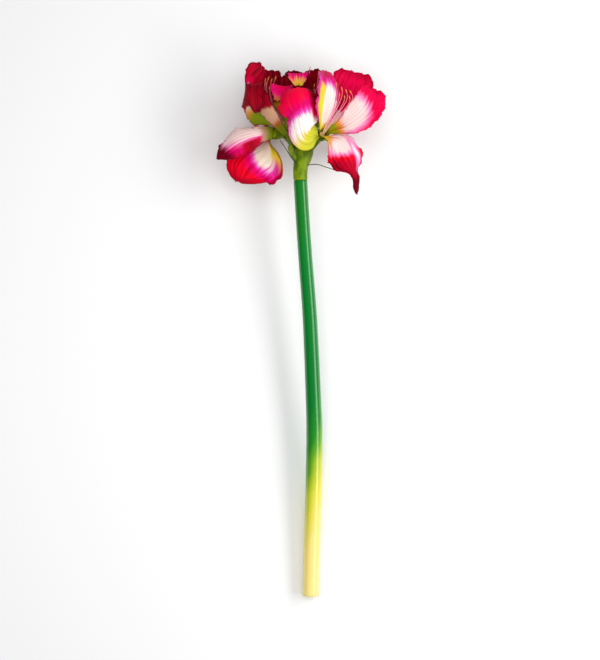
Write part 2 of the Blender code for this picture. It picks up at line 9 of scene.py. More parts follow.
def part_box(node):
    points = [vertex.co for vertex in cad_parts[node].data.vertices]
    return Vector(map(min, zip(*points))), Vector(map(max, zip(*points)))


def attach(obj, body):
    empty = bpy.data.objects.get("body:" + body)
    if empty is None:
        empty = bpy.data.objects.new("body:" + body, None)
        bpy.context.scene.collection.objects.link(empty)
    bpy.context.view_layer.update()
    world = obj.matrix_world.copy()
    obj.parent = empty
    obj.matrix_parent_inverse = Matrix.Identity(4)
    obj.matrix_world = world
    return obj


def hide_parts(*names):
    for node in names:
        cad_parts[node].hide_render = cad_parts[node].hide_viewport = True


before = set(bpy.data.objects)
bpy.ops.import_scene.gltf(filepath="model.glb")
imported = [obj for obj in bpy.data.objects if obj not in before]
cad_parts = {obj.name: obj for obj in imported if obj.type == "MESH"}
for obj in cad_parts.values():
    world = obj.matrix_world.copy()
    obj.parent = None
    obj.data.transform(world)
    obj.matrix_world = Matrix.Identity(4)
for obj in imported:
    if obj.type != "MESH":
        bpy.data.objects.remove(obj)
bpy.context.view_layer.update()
bpy.ops.object.select_all(action="DESELECT")
print("frame loaded with", len(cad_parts), "nodes")

# The flower is drawn upright in its own millimetres, X right, Y up the stem, Z towards the viewer,
# and then laid on its back as the solids are.
lying = {"tilt": 4.828, "roll": 0.995, "shift": (3.959, 237.315, 59.925)}
turnDown = Matrix.Rotation(math.radians(lying["roll"]), 3, "Y") @ Matrix.Rotation(
    math.radians(lying["tilt"]), 3, "X"
)


def laid(points):
    turned = np.asarray(points, float) @ np.array(turnDown).T
    return (turned + np.array(lying["shift"])) / 1000


def unit(vector):
    vector = np.asarray(vector, float)
    return vector / np.linalg.norm(vector)


def eased(t):
    t = np.clip(t, 0, 1)
    return t * t * (3 - 2 * t)


def easedBetween(t, start, end):
    return eased((t - start) / (end - start))


def smoothCurve(knots, samples, spanSteps=24):
    # points at even lengths on a Catmull-Rom curve, and the share of the length at each knot
    knots = np.asarray(knots, float)
    ends = np.vstack([2 * knots[0] - knots[1], knots, 2 * knots[-1] - knots[-2]])
    t = np.linspace(0, 1, spanSteps, endpoint=False)[:, None]
    spans = [
        0.5 * (2 * b + (c - a) * t + (2 * a - 5 * b + 4 * c - d) * t**2 + (3 * b - a - 3 * c + d) * t**3)
        for a, b, c, d in zip(ends[:-3], ends[1:-2], ends[2:-1], ends[3:])
    ]
    dense = np.vstack([*spans, knots[-1:]])
    steps = np.linalg.norm(np.diff(dense[:, :3], axis=0), axis=1)
    lengths = np.concatenate([[0], np.cumsum(steps)])
    wanted = np.linspace(0, lengths[-1], samples)
    points = np.stack([np.interp(wanted, lengths, dense[:, k]) for k in range(dense.shape[1])], axis=1)
    return points, lengths[::spanSteps] / lengths[-1]


def smoothed(rows, reach):
    for _ in range(2):
        padded = np.vstack([rows[:1].repeat(reach, axis=0), rows, rows[-1:].repeat(reach, axis=0)])
        total = np.cumsum(np.vstack([np.zeros((1, 3)), padded]), axis=0)
        rows = (total[2 * reach + 1 :] - total[: -2 * reach - 1]) / (2 * reach + 1)
    return rows / np.linalg.norm(rows, axis=1)[:, None]


def widthShares(outline, u):
    # a monotone cubic through the outline's points
    x, y = np.array(outline).T
    width, slope = np.diff(x), np.diff(y) / np.diff(x)
    tangent = np.concatenate([[slope[0]], np.zeros(len(x) - 2), [slope[-1]]])
    for k in range(1, len(x) - 1):
        if slope[k - 1] * slope[k] > 0:
            tangent[k] = 2 / (1 / slope[k - 1] + 1 / slope[k])
    at = np.clip(np.searchsorted(x, u, side="right") - 1, 0, len(x) - 2)
    h = width[at]
    t = (u - x[at]) / h
    return (
        (2 * t**3 - 3 * t**2 + 1) * y[at]
        + (t**3 - 2 * t**2 + t) * h * tangent[at]
        + (3 * t**2 - 2 * t**3) * y[at + 1]
        + (t**3 - t**2) * h * tangent[at + 1]
    )


# Height, count, pull of the seed and shift of each wave in an uneven edge.
unevenWaves = [(0.5, 7, 1.7, 0), (0.3, 13, 2.9, 1), (0.2, 23, 4.3, 2)]


def uneven(t, seed):
    # an irregular wave between about -1 and 1, for cut and ruffled edges
    return sum(
        height * np.sin(2 * np.pi * count * t + pull * seed + shift)
        for height, count, pull, shift in unevenWaves
    )


def paint(red, green, blue):
    # a colour as screens write it, as the linear values that the shaders take
    shares = [c / 255 for c in (red, green, blue)]
    return (*[s / 12.92 if s <= 0.04045 else ((s + 0.055) / 1.055) ** 2.4 for s in shares], 1)


# Shader building blocks.
def feed(tree, value, socket):
    if isinstance(value, bpy.types.NodeSocket):
        tree.links.new(value, socket)
    else:
        socket.default_value = value


def calculate(tree, operation, *values):
    node = tree.nodes.new("ShaderNodeMath")
    node.operation = operation
    for socket, value in zip(node.inputs, values):
        feed(tree, value, socket)
    return node.outputs[0]


def mathsOf(tree):
    kinds = ("ADD", "SUBTRACT", "MULTIPLY", "MULTIPLY_ADD")
    return [functools.partial(calculate, tree, kind) for kind in kinds]


def softStep(tree, value, low, high):
    node = tree.nodes.new("ShaderNodeMapRange")
    node.interpolation_type = "SMOOTHSTEP"
    feed(tree, value, node.inputs["Value"])
    feed(tree, low, node.inputs["From Min"])
    feed(tree, high, node.inputs["From Max"])
    return node.outputs["Result"]


def mixColour(tree, share, first, second):
    node = tree.nodes.new("ShaderNodeMix")
    node.data_type = "RGBA"
    feed(tree, share, node.inputs[0])
    feed(tree, first, node.inputs[6])
    feed(tree, second, node.inputs[7])
    return node.outputs[2]


def noiseOf(tree, vector, scale, detail=2.0, roughness=0.5):
    node = tree.nodes.new("ShaderNodeTexNoise")
    node.inputs["Scale"].default_value = scale
    node.inputs["Detail"].default_value = detail
    node.inputs["Roughness"].default_value = roughness
    tree.links.new(vector, node.inputs["Vector"])
    return node.outputs["Fac"]


def vectorOf(tree, x, y, z):
    node = tree.nodes.new("ShaderNodeCombineXYZ")
    for socket, value in zip(node.inputs, (x, y, z)):
        feed(tree, value, socket)
    return node.outputs[0]


def partsOf(tree, vector):
    node = tree.nodes.new("ShaderNodeSeparateXYZ")
    tree.links.new(vector, node.inputs[0])
    return node.outputs


def ownPlace(tree):
    return tree.nodes.new("ShaderNodeTexCoord").outputs["Object"]


def ownUV(tree):
    node = tree.nodes.new("ShaderNodeUVMap")
    node.uv_map = "UVMap"
    return node.outputs[0]


def rampOf(tree, share, stops):
    # the stops run from 0 to 1
    node = tree.nodes.new("ShaderNodeValToRGB")
    elements = node.color_ramp.elements
    for position, _ in stops[1:-1]:
        elements.new(position)
    for element, (_, colour) in zip(elements, stops):
        element.color = paint(*colour)
    tree.links.new(share, node.inputs[0])
    return node.outputs[0]


def newGroup(name, inputs, outputs):
    tree = bpy.data.node_groups.new(name, "ShaderNodeTree")
    kinds = {"value": "NodeSocketFloat", "colour": "NodeSocketColor", "vector": "NodeSocketVector"}
    for way, sockets in (("INPUT", inputs), ("OUTPUT", outputs)):
        for label, kind in sockets.items():
            tree.interface.new_socket(name=label, in_out=way, socket_type=kinds[kind])
    return tree, tree.nodes.new("NodeGroupInput").outputs, tree.nodes.new("NodeGroupOutput").inputs


def placeGroup(tree, group, values):
    node = tree.nodes.new("ShaderNodeGroup")
    node.node_tree = group
    for label, value in values.items():
        feed(tree, value, node.inputs[label])
    return node.outputs


def newMaterial(name, roughness, **settings):
    material = bpy.data.materials.new(name)
    material.use_nodes = True
    shader = material.node_tree.nodes["Principled BSDF"]
    shader.inputs["Roughness"].default_value = roughness
    for label, value in settings.items():
        shader.inputs[label.replace("_", " ")].default_value = value
    return material, material.node_tree, shader


def finishWith(tree, shader, colour, relief, bump):
    # a finish ends with its colour and with the strength and depth of its relief
    node = tree.nodes.new("ShaderNodeBump")
    node.inputs["Strength"].default_value, node.inputs["Distance"].default_value = bump
    tree.links.new(relief, node.inputs["Height"])
    tree.links.new(node.outputs["Normal"], shader.inputs["Normal"])
    tree.links.new(colour, shader.inputs["Base Color"])


tints = {
    "white": (248, 238, 232), "blush": (236, 206, 202), "cream": (230, 202, 182), "ivory": (242, 228, 208),
    "beige": (192, 148, 118), "pink": (238, 120, 180), "rose": (190, 104, 110), "orchid": (226, 70, 180),
    "magenta": (220, 2, 104), "ruby": (250, 0, 66), "scarlet": (236, 0, 72), "red": (232, 0, 36),
    "crimson": (184, 0, 38), "blood": (146, 0, 24), "maroon": (104, 0, 22), "wine": (58, 0, 16),
    "rust": (168, 50, 14), "orange": (236, 142, 56), "yellow": (238, 206, 50), "lime": (200, 204, 56),
    "leaf": (126, 150, 16), "olive": (102, 122, 16),
}

# The print on a petal: a light middle with fine streaks that fan from the foot, a pink and then a red
# margin with painted shade in its creases, another colour at the very end, a dark rim, a green or yellow
# foot and one stripe along a side.
insidePrint = {
    "Middle": "white", "Veil": "pink", "Margin": "magenta", "Tip": "red", "Rim": "maroon", "Foot": "lime",
    "Foot Edge": "yellow", "Stripe": "leaf", "Stripe Edge": "yellow", "Vein": "rose", "End": "maroon",
    "Throat": "rust",
    "Centre Across": 0, "Centre Along": 0.42, "Drift": 0, "Reach Across": 0.75, "Reach Up": 0.26,
    "Reach Down": 0.6, "Streaks": 0.9, "Streak Count": 7, "Crease Shade": 0.45, "Vein Depth": 0.4,
    "Foot End": 0.2, "Foot Skew": 0, "Foot Band": 0.04, "Throat Depth": 0.25, "End Start": 3,
    "Stripe Across": 0, "Stripe Width": -1, "Stripe Start": -1, "Stripe End": 0.6,
    "Rim Width": 0.05, "Rim Depth": 0.7, "Seed": 0,
}
outsidePrint = {
    **insidePrint, "Middle": "cream", "Margin": "crimson", "Tip": "blood", "Foot": "olive",
    "Foot Edge": "beige", "Reach Across": 0.6, "Reach Up": 0.2, "Streaks": 1.2, "Crease Shade": 0.6,
    "Foot End": 0.3,
}
# Painted shade: darker copies of the prints for the blooms at the left and in the middle, which lie in shade.
shadedInside = {
    "Middle": "pink", "Veil": "crimson", "Margin": "crimson", "Tip": "blood", "Rim": "wine",
    "Centre Along": 0.5, "Reach Across": 0.3, "Reach Up": 0.12, "Reach Down": 0.4, "Crease Shade": 0.85,
}
shadedOutside = {
    "Veil": "crimson", "Margin": "blood", "Rim": "wine", "Centre Along": 0.4, "Reach Up": 0.14,
    "Crease Shade": 0.8, "Foot End": 0.34,
}
# What is printed otherwise on single petals.
petalPrints = {
    # The dark red stripe along the front petal's right side is painted shade on the flank that turns away.
    "right front": {"inside": {
        "Veil": "orchid", "Tip": "ruby", "Rim": "rust", "Stripe": "blood", "Stripe Edge": "scarlet",
        "Centre Across": 0.05, "Centre Along": 0.34, "Drift": 0.5, "Reach Across": 1.05, "Reach Up": 0.26,
        "Reach Down": 0.5, "Streak Count": 8, "Crease Shade": 0.2, "Foot End": 0.29, "Foot Band": 0.02,
        "Stripe Across": 1.05, "Stripe Width": 0.46, "Stripe Start": 0.5, "Stripe End": 2,
        "Rim Width": 0.03}},
    "right upper": {"inside": {
        "Veil": "orchid", "Tip": "orchid", "Rim": "rust", "Stripe": "lime",
        "Centre Across": 0.25, "Centre Along": 0.5, "Reach Across": 0.66, "Reach Up": 0.3,
        "Reach Down": 0.7, "Crease Shade": 0.2, "Stripe Across": -0.42, "Stripe Width": 0.19,
        "Stripe End": 0.7, "Rim Width": 0.14}},
    "right back": {"inside": {
        "Veil": "magenta", "Margin": "scarlet", "Tip": "scarlet", "Rim": "blood",
        "Centre Along": 0.3, "Reach Up": 0.14, "Crease Shade": 0.6, "Rim Width": 0.1}},
    "right side": {"inside": {
        "Middle": "blush", "Margin": "scarlet", "Tip": "scarlet", "Rim": "blood", "Foot": "leaf",
        "Foot Edge": "orange",
        "Centre Across": -0.2, "Centre Along": 0.48, "Drift": -1.1, "Reach Across": 0.95, "Reach Up": 0.31,
        "Reach Down": 0.8, "Foot End": 0.31, "Foot Band": 0.06, "Throat Depth": 0.8}},
    "right lower": {"inside": {
        "Middle": "blush", "Margin": "red", "Tip": "crimson", "Foot": "yellow", "Foot Edge": "orange",
        "Stripe": "white", "Stripe Edge": "pink",
        "Centre Across": -0.1, "Centre Along": 0.36, "Drift": -0.9, "Reach Across": 0.85, "Reach Up": 0.16,
        "Crease Shade": 0.9, "Foot End": 0.25, "Foot Skew": 0.03, "Throat Depth": 0.8, "End Start": 0.78,
        "Stripe Across": -0.56, "Stripe Width": 0.12, "Stripe Start": 0.4, "Stripe End": 0.68}},
    # The tongue's beige middle outside is partly its own tone and partly painted shade, and the darker end of
    # its curled tip inside is painted shade.
    "left tongue": {
        "inside": {**shadedInside, "Centre Along": 0.4, "End Start": 0.97},
        "outside": {
            **shadedOutside, "Middle": "beige", "Veil": "beige", "Foot Edge": "rust",
            "Centre Along": 0.34, "Reach Across": 1.1, "Reach Up": 0.09, "Crease Shade": 0.3,
            "Foot End": 0.25, "Rim Width": 0.1, "Rim Depth": 1.0}},
    "left right": {
        "inside": {
            "Middle": "magenta", "Veil": "scarlet", "Margin": "scarlet", "Tip": "magenta", "End": "orange",
            "Crease Shade": 0.3, "End Start": 0.94},
        "outside": {
            **shadedOutside, "Veil": "orange", "Margin": "crimson", "Foot": "leaf", "Foot Edge": "yellow",
            "Reach Up": 0.05, "Foot End": 0.5}},
    "left side": {
        "inside": {
            **shadedInside, "Margin": "scarlet", "Tip": "crimson",
            "Centre Along": 0.66, "Reach Across": 0.3, "Reach Down": 0.2},
        "outside": {
            **shadedOutside, "Foot": "leaf", "Foot Edge": "orange",
            "Centre Along": 0.46, "Reach Up": 0.06, "Foot End": 0.48}},
    "middle front": {
        "inside": {
            "Middle": "magenta", "Veil": "magenta", "Tip": "magenta", "End": "yellow",
            "Crease Shade": 0.3, "End Start": 0.94},
        "outside": shadedOutside},
    "middle rear": {"inside": shadedInside},
    "low broad": {"inside": {
        "Middle": "ivory", "Veil": "orchid", "Rim": "blood", "Foot": "leaf", "Foot Edge": "orange",
        "Stripe": "leaf", "End": "crimson",
        "Centre Across": -0.04, "Centre Along": 0.24, "Drift": -1.1, "Reach Across": 0.56,
        "Reach Up": 0.32, "Reach Down": 0.5, "Streak Count": 10, "Crease Shade": 0.9, "Vein Depth": 0.55,
        "Foot End": 0.14, "Throat Depth": 0.8, "End Start": 0.93, "Stripe Across": -1.1,
        "Stripe Width": 0.58, "Stripe End": 0.29, "Rim Width": 0.11, "Rim Depth": 0.85}},
    "low fold": {"outside": {
        "Middle": "blush", "Margin": "magenta", "Tip": "crimson", "Foot": "leaf", "Stripe": "blood",
        "Stripe Edge": "crimson", "End": "maroon",
        "Centre Across": -0.55, "Centre Along": 0.45, "Drift": 0.5, "Reach Across": 0.8, "Reach Up": 0.4,
        "Reach Down": 0.32, "Foot End": 0.3, "Foot Band": 0.1, "End Start": 0.84,
        "Stripe Across": 0.75, "Stripe Width": 0.36, "Stripe Start": 0.36, "Stripe End": 0.58}},
}
# Petals of the shaded blooms with nothing of their own take the painted-shade prints.
plainShaded = {
    "left": ("near", "back", "far"),
    "middle": ("right", "topright", "topleft", "left"),
}
for bloomName, petalNames in plainShaded.items():
    for petalName in petalNames:
        petalPrints[f"{bloomName} {petalName}"] = {"inside": shadedInside, "outside": shadedOutside}

# Noise is given as scale, detail and roughness, and each soft edge by where it starts and where it ends.
printEdges = {
    "wanderNoise": (45,), "wander": 0.16, "wanderAlong": 0.6, "streakNoise": (1.6, 4, 0.65),
    "Veil": (0.7, 1.05), "Margin": (0.95, 1.3), "Tip": (1.3, 1.9),
    "foldShare": 0.5, "creaseNoise": (1.9, 2.5, 0.6), "creaseShade": (0.46, 0.68), "creaseReach": (0.9, 1.6),
    "endStreak": 0.2, "end": (-0.06, 0.06),
    "veinCount": 1.9, "veinWander": 2, "vein": (0.18, 0.02), "veinBreaks": (-0.12, 0.1),
    "veinReach": (1.25, 0.8),
    "stripeStreak": 0.2, "border": (0.16, 0), "stripe": (0.06, -0.14),
    "stripeEndStreak": 0.1, "borderEnds": (-0.1, 0.02), "stripeEnds": (-0.02, 0.12),
    "footStreak": 0.14, "footEdge": (-0.04, 0.04), "foot": (-0.05, 0.05),
    "throat": (-0.04, 0.14), "throatReach": (-0.1, 0.05), "rimStreak": 0.16, "rim": (-0.05, 0.1),
    "relief": 0.8,
}


def makePetalPrint():
    kinds = {label: "colour" if isinstance(value, str) else "value" for label, value in insidePrint.items()}
    inputs = {"Print UV": "vector", "Point": "vector", **kinds}
    tree, take, give = newGroup("petalPrint", inputs, {"Color": "colour", "Relief": "value"})
    add, subtract, multiply, multiplyAdd = mathsOf(tree)
    edge = printEdges
    apart = partsOf(tree, take["Print UV"])
    wander = noiseOf(tree, take["Point"], *edge["wanderNoise"])
    wander = multiplyAdd(wander, edge["wander"], -edge["wander"] / 2)
    across = add(multiplyAdd(apart["X"], 2, -1), wander)
    along = multiplyAdd(wander, edge["wanderAlong"], apart["Y"])

    fan = multiply(across, take["Streak Count"])
    streak = noiseOf(tree, vectorOf(tree, fan, along, take["Seed"]), *edge["streakNoise"])
    streak = subtract(streak, 0.5)

    rise = subtract(along, take["Centre Along"])
    centre = multiplyAdd(rise, take["Drift"], take["Centre Across"])
    sideways = calculate(tree, "DIVIDE", subtract(across, centre), take["Reach Across"])
    upwards = calculate(tree, "DIVIDE", calculate(tree, "MAXIMUM", rise, 0), take["Reach Up"])
    downwards = calculate(tree, "DIVIDE", calculate(tree, "MINIMUM", rise, 0), take["Reach Down"])
    apartness = multiplyAdd(upwards, upwards, multiply(sideways, sideways))
    apartness = multiplyAdd(downwards, downwards, apartness)
    apartness = multiplyAdd(streak, take["Streaks"], calculate(tree, "SQRT", apartness))
    colour = take["Middle"]
    for label in ("Veil", "Margin", "Tip"):
        colour = mixColour(tree, softStep(tree, apartness, *edge[label]), colour, take[label])

    # Painted shade: dark strokes in the folds, mixed towards the rim colour by each print's crease shade.
    folded = vectorOf(tree, multiply(fan, edge["foldShare"]), along, take["Seed"])
    creaseShade = softStep(tree, noiseOf(tree, folded, *edge["creaseNoise"]), *edge["creaseShade"])
    creaseShade = multiply(creaseShade, softStep(tree, apartness, *edge["creaseReach"]))
    colour = mixColour(tree, multiply(creaseShade, take["Crease Shade"]), colour, take["Rim"])
    last = multiplyAdd(streak, edge["endStreak"], subtract(along, take["End Start"]))
    colour = mixColour(tree, softStep(tree, last, *edge["end"]), colour, take["End"])

    line = multiplyAdd(wander, edge["veinWander"], multiply(fan, edge["veinCount"]))
    line = calculate(tree, "ABSOLUTE", subtract(calculate(tree, "FRACT", line), 0.5))
    line = softStep(tree, line, *edge["vein"])
    line = multiply(line, softStep(tree, streak, *edge["veinBreaks"]))
    line = multiply(line, softStep(tree, apartness, *edge["veinReach"]))
    colour = mixColour(tree, multiply(line, take["Vein Depth"]), colour, take["Vein"])

    aside = calculate(tree, "ABSOLUTE", subtract(across, take["Stripe Across"]))
    aside = multiplyAdd(streak, edge["stripeStreak"], subtract(aside, take["Stripe Width"]))
    border, stripe = softStep(tree, aside, *edge["border"]), softStep(tree, aside, *edge["stripe"])
    for label, away in (("Stripe Start", 1), ("Stripe End", -1)):
        past = multiplyAdd(streak, edge["stripeEndStreak"], subtract(along, take[label]))
        past = multiply(past, away)
        border = multiply(border, softStep(tree, past, *edge["borderEnds"]))
        stripe = multiply(stripe, softStep(tree, past, *edge["stripeEnds"]))
    colour = mixColour(tree, border, colour, take["Stripe Edge"])
    colour = mixColour(tree, stripe, colour, take["Stripe"])

    footEnd = multiplyAdd(take["Foot Skew"], across, take["Foot End"])
    below = subtract(multiplyAdd(streak, edge["footStreak"], footEnd), along)
    colour = mixColour(tree, softStep(tree, below, *edge["footEdge"]), colour, take["Foot Edge"])
    deeper = subtract(below, take["Foot Band"])
    colour = mixColour(tree, softStep(tree, deeper, *edge["foot"]), colour, take["Foot"])
    stroke = multiply(softStep(tree, streak, *edge["throat"]), softStep(tree, below, *edge["throatReach"]))
    colour = mixColour(tree, multiply(stroke, take["Throat Depth"]), colour, take["Throat"])

    brim = calculate(tree, "MAXIMUM", calculate(tree, "ABSOLUTE", across), along)
    brim = multiplyAdd(streak, edge["rimStreak"], add(subtract(brim, 1), take["Rim Width"]))
    rim = multiply(softStep(tree, brim, *edge["rim"]), take["Rim Depth"])
    colour = mixColour(tree, rim, colour, take["Rim"])

    tree.links.new(colour, give["Color"])
    tree.links.new(multiplyAdd(streak, edge["relief"], line), give["Relief"])
    return tree


# Woven cloth: two crossed sets of threads that follow the petal, counted across it and along it.
threadShares = {"X": 0.45, "Y": 1.0}


def makeClothGrain():
    inputs = {"Print UV": "vector", "Threads": "value"}
    tree, take, give = newGroup("clothGrain", inputs, {"Height": "value"})
    apart = partsOf(tree, take["Print UV"])
    crossing = []
    for label, share in threadShares.items():
        turns = calculate(tree, "MULTIPLY", apart[label], take["Threads"])
        crossing.append(calculate(tree, "SINE", calculate(tree, "MULTIPLY", turns, share * 2 * math.pi)))
    tree.links.new(calculate(tree, "MULTIPLY", *crossing), give["Height"])
    return tree


petalPrint = makePetalPrint()
clothGrain = makeClothGrain()
petalCloth = {"roughness": 0.55, "specular": 0.06, "threads": 260, "weave": 0.12, "bump": (0.35, 0.0004)}


def petalMaterial(name, look, seed):
    cloth = petalCloth
    material, tree, shader = newMaterial(name, cloth["roughness"], Specular_IOR_Level=cloth["specular"])
    uv = ownUV(tree)
    inks = {label: paint(*tints[value]) for label, value in look.items() if isinstance(value, str)}
    printed = placeGroup(
        tree, petalPrint, {**look, **inks, "Seed": seed, "Print UV": uv, "Point": ownPlace(tree)}
    )
    grain = placeGroup(tree, clothGrain, {"Print UV": uv, "Threads": cloth["threads"]})
    relief = calculate(tree, "MULTIPLY_ADD", grain["Height"], cloth["weave"], printed["Relief"])
    finishWith(tree, shader, printed["Color"], relief, cloth["bump"])
    return material


print("print and cloth groups made")

# Half width along a petal, as shares of its widest half width, from foot to tip.
outlines = {
    "broad": [(0.0, 0.3), (0.12, 0.4), (0.3, 0.74), (0.55, 1.0), (0.76, 0.88), (0.91, 0.52), (1.0, 0.07)],
    "full": [(0.0, 0.26), (0.1, 0.4), (0.25, 0.8), (0.5, 1.0), (0.78, 0.9), (0.93, 0.55), (1.0, 0.12)],
    "blunt": [(0.0, 0.26), (0.1, 0.38), (0.25, 0.74), (0.5, 0.94), (0.72, 1.0), (0.9, 0.8), (1.0, 0.36)],
    "square": [(0.0, 0.26), (0.1, 0.36), (0.25, 0.58), (0.5, 0.8), (0.76, 1.0), (0.92, 0.95), (1.0, 0.66)],
    "spoon": [(0.0, 0.2), (0.2, 0.34), (0.4, 0.74), (0.65, 1.0), (0.84, 0.96), (0.94, 0.8), (1.0, 0.48)],
    "leaf": [(0.0, 0.3), (0.12, 0.36), (0.3, 0.54), (0.5, 0.92), (0.68, 1.0), (0.88, 0.62), (1.0, 0.07)],
    "narrow": [(0.0, 0.3), (0.15, 0.44), (0.4, 0.86), (0.6, 1.0), (0.8, 0.76), (0.93, 0.38), (1.0, 0.06)],
    "ribbon": [(0.0, 0.3), (0.15, 0.44), (0.4, 0.9), (0.6, 1.0), (0.8, 0.84), (0.93, 0.66), (1.0, 0.3)],
    "fan": [(0.0, 0.2), (0.12, 0.46), (0.24, 0.9), (0.38, 1.0), (0.6, 0.98), (0.8, 0.84), (0.93, 0.54),
            (1.0, 0.15)],
    "shield": [(0.0, 0.26), (0.12, 0.4), (0.24, 0.74), (0.38, 0.8), (0.6, 0.84), (0.78, 1.0), (0.9, 0.95),
               (1.0, 0.62)],
    "tailed": [(0.0, 0.2), (0.12, 0.36), (0.28, 0.8), (0.44, 0.98), (0.6, 1.0), (0.67, 0.8), (0.72, 0.4),
               (0.77, 0.23), (0.93, 0.18), (1.0, 0.05)],
}
# Each whorl: the ring that its petals' feet stand on, where it opens, how closely the petals wrap the
# bloom's axis, and how wide half a petal may be for its reach from that axis.
whorls = {
    "outer": {"radius": 7.6, "rise": 9, "spread": 13.5, "hug": 0.55, "crowding": 0.8, "free": 13.7},
    "inner": {"radius": 5.0, "rise": 16, "spread": 9.0, "hug": 1.0, "crowding": 0.62, "free": 9.0},
}
# Millimetres, radians, and shares of a petal's length or of its half width.
petalShape = {
    "rows": 128, "columns": 56, "thickness": 0.6,
    "footLift": 0.3, "footRise": 6, "footLean": 0.5, "openingLooksUp": 0.5, "smoothing": 0.094,
    "narrowest": 1.2, "widening": 1.2, "hugMost": 1.2, "looseAt": 0.12, "hugEnds": (0.10, 0.42),
    "leanEnds": (0.08, 0.3), "wavesStart": (0.15, 0.45), "wavePower": 2.5, "waveLag": 1.9,
    "frillHeight": 1.2, "frillPower": 5, "frillLength": 100,
    "ribs": 9, "ribHeight": 0.28, "ribsFade": (0.7, 1.0),
    "crinkleHeight": 0.5, "crinkleSlant": 0.18, "crinkleLength": 70, "crinklePower": 1.3,
    "cutDepth": 1.1, "cutPower": 3, "cutLength": 100, "cutShift": 0.37,
    "tipCut": 1.2, "tipLength": 130, "tipStart": 0.86,
    "bloomSeed": 3.1, "petalSeed": 1.3, "rightHalfSeed": 5.0, "outsideSeed": 0.5,
}

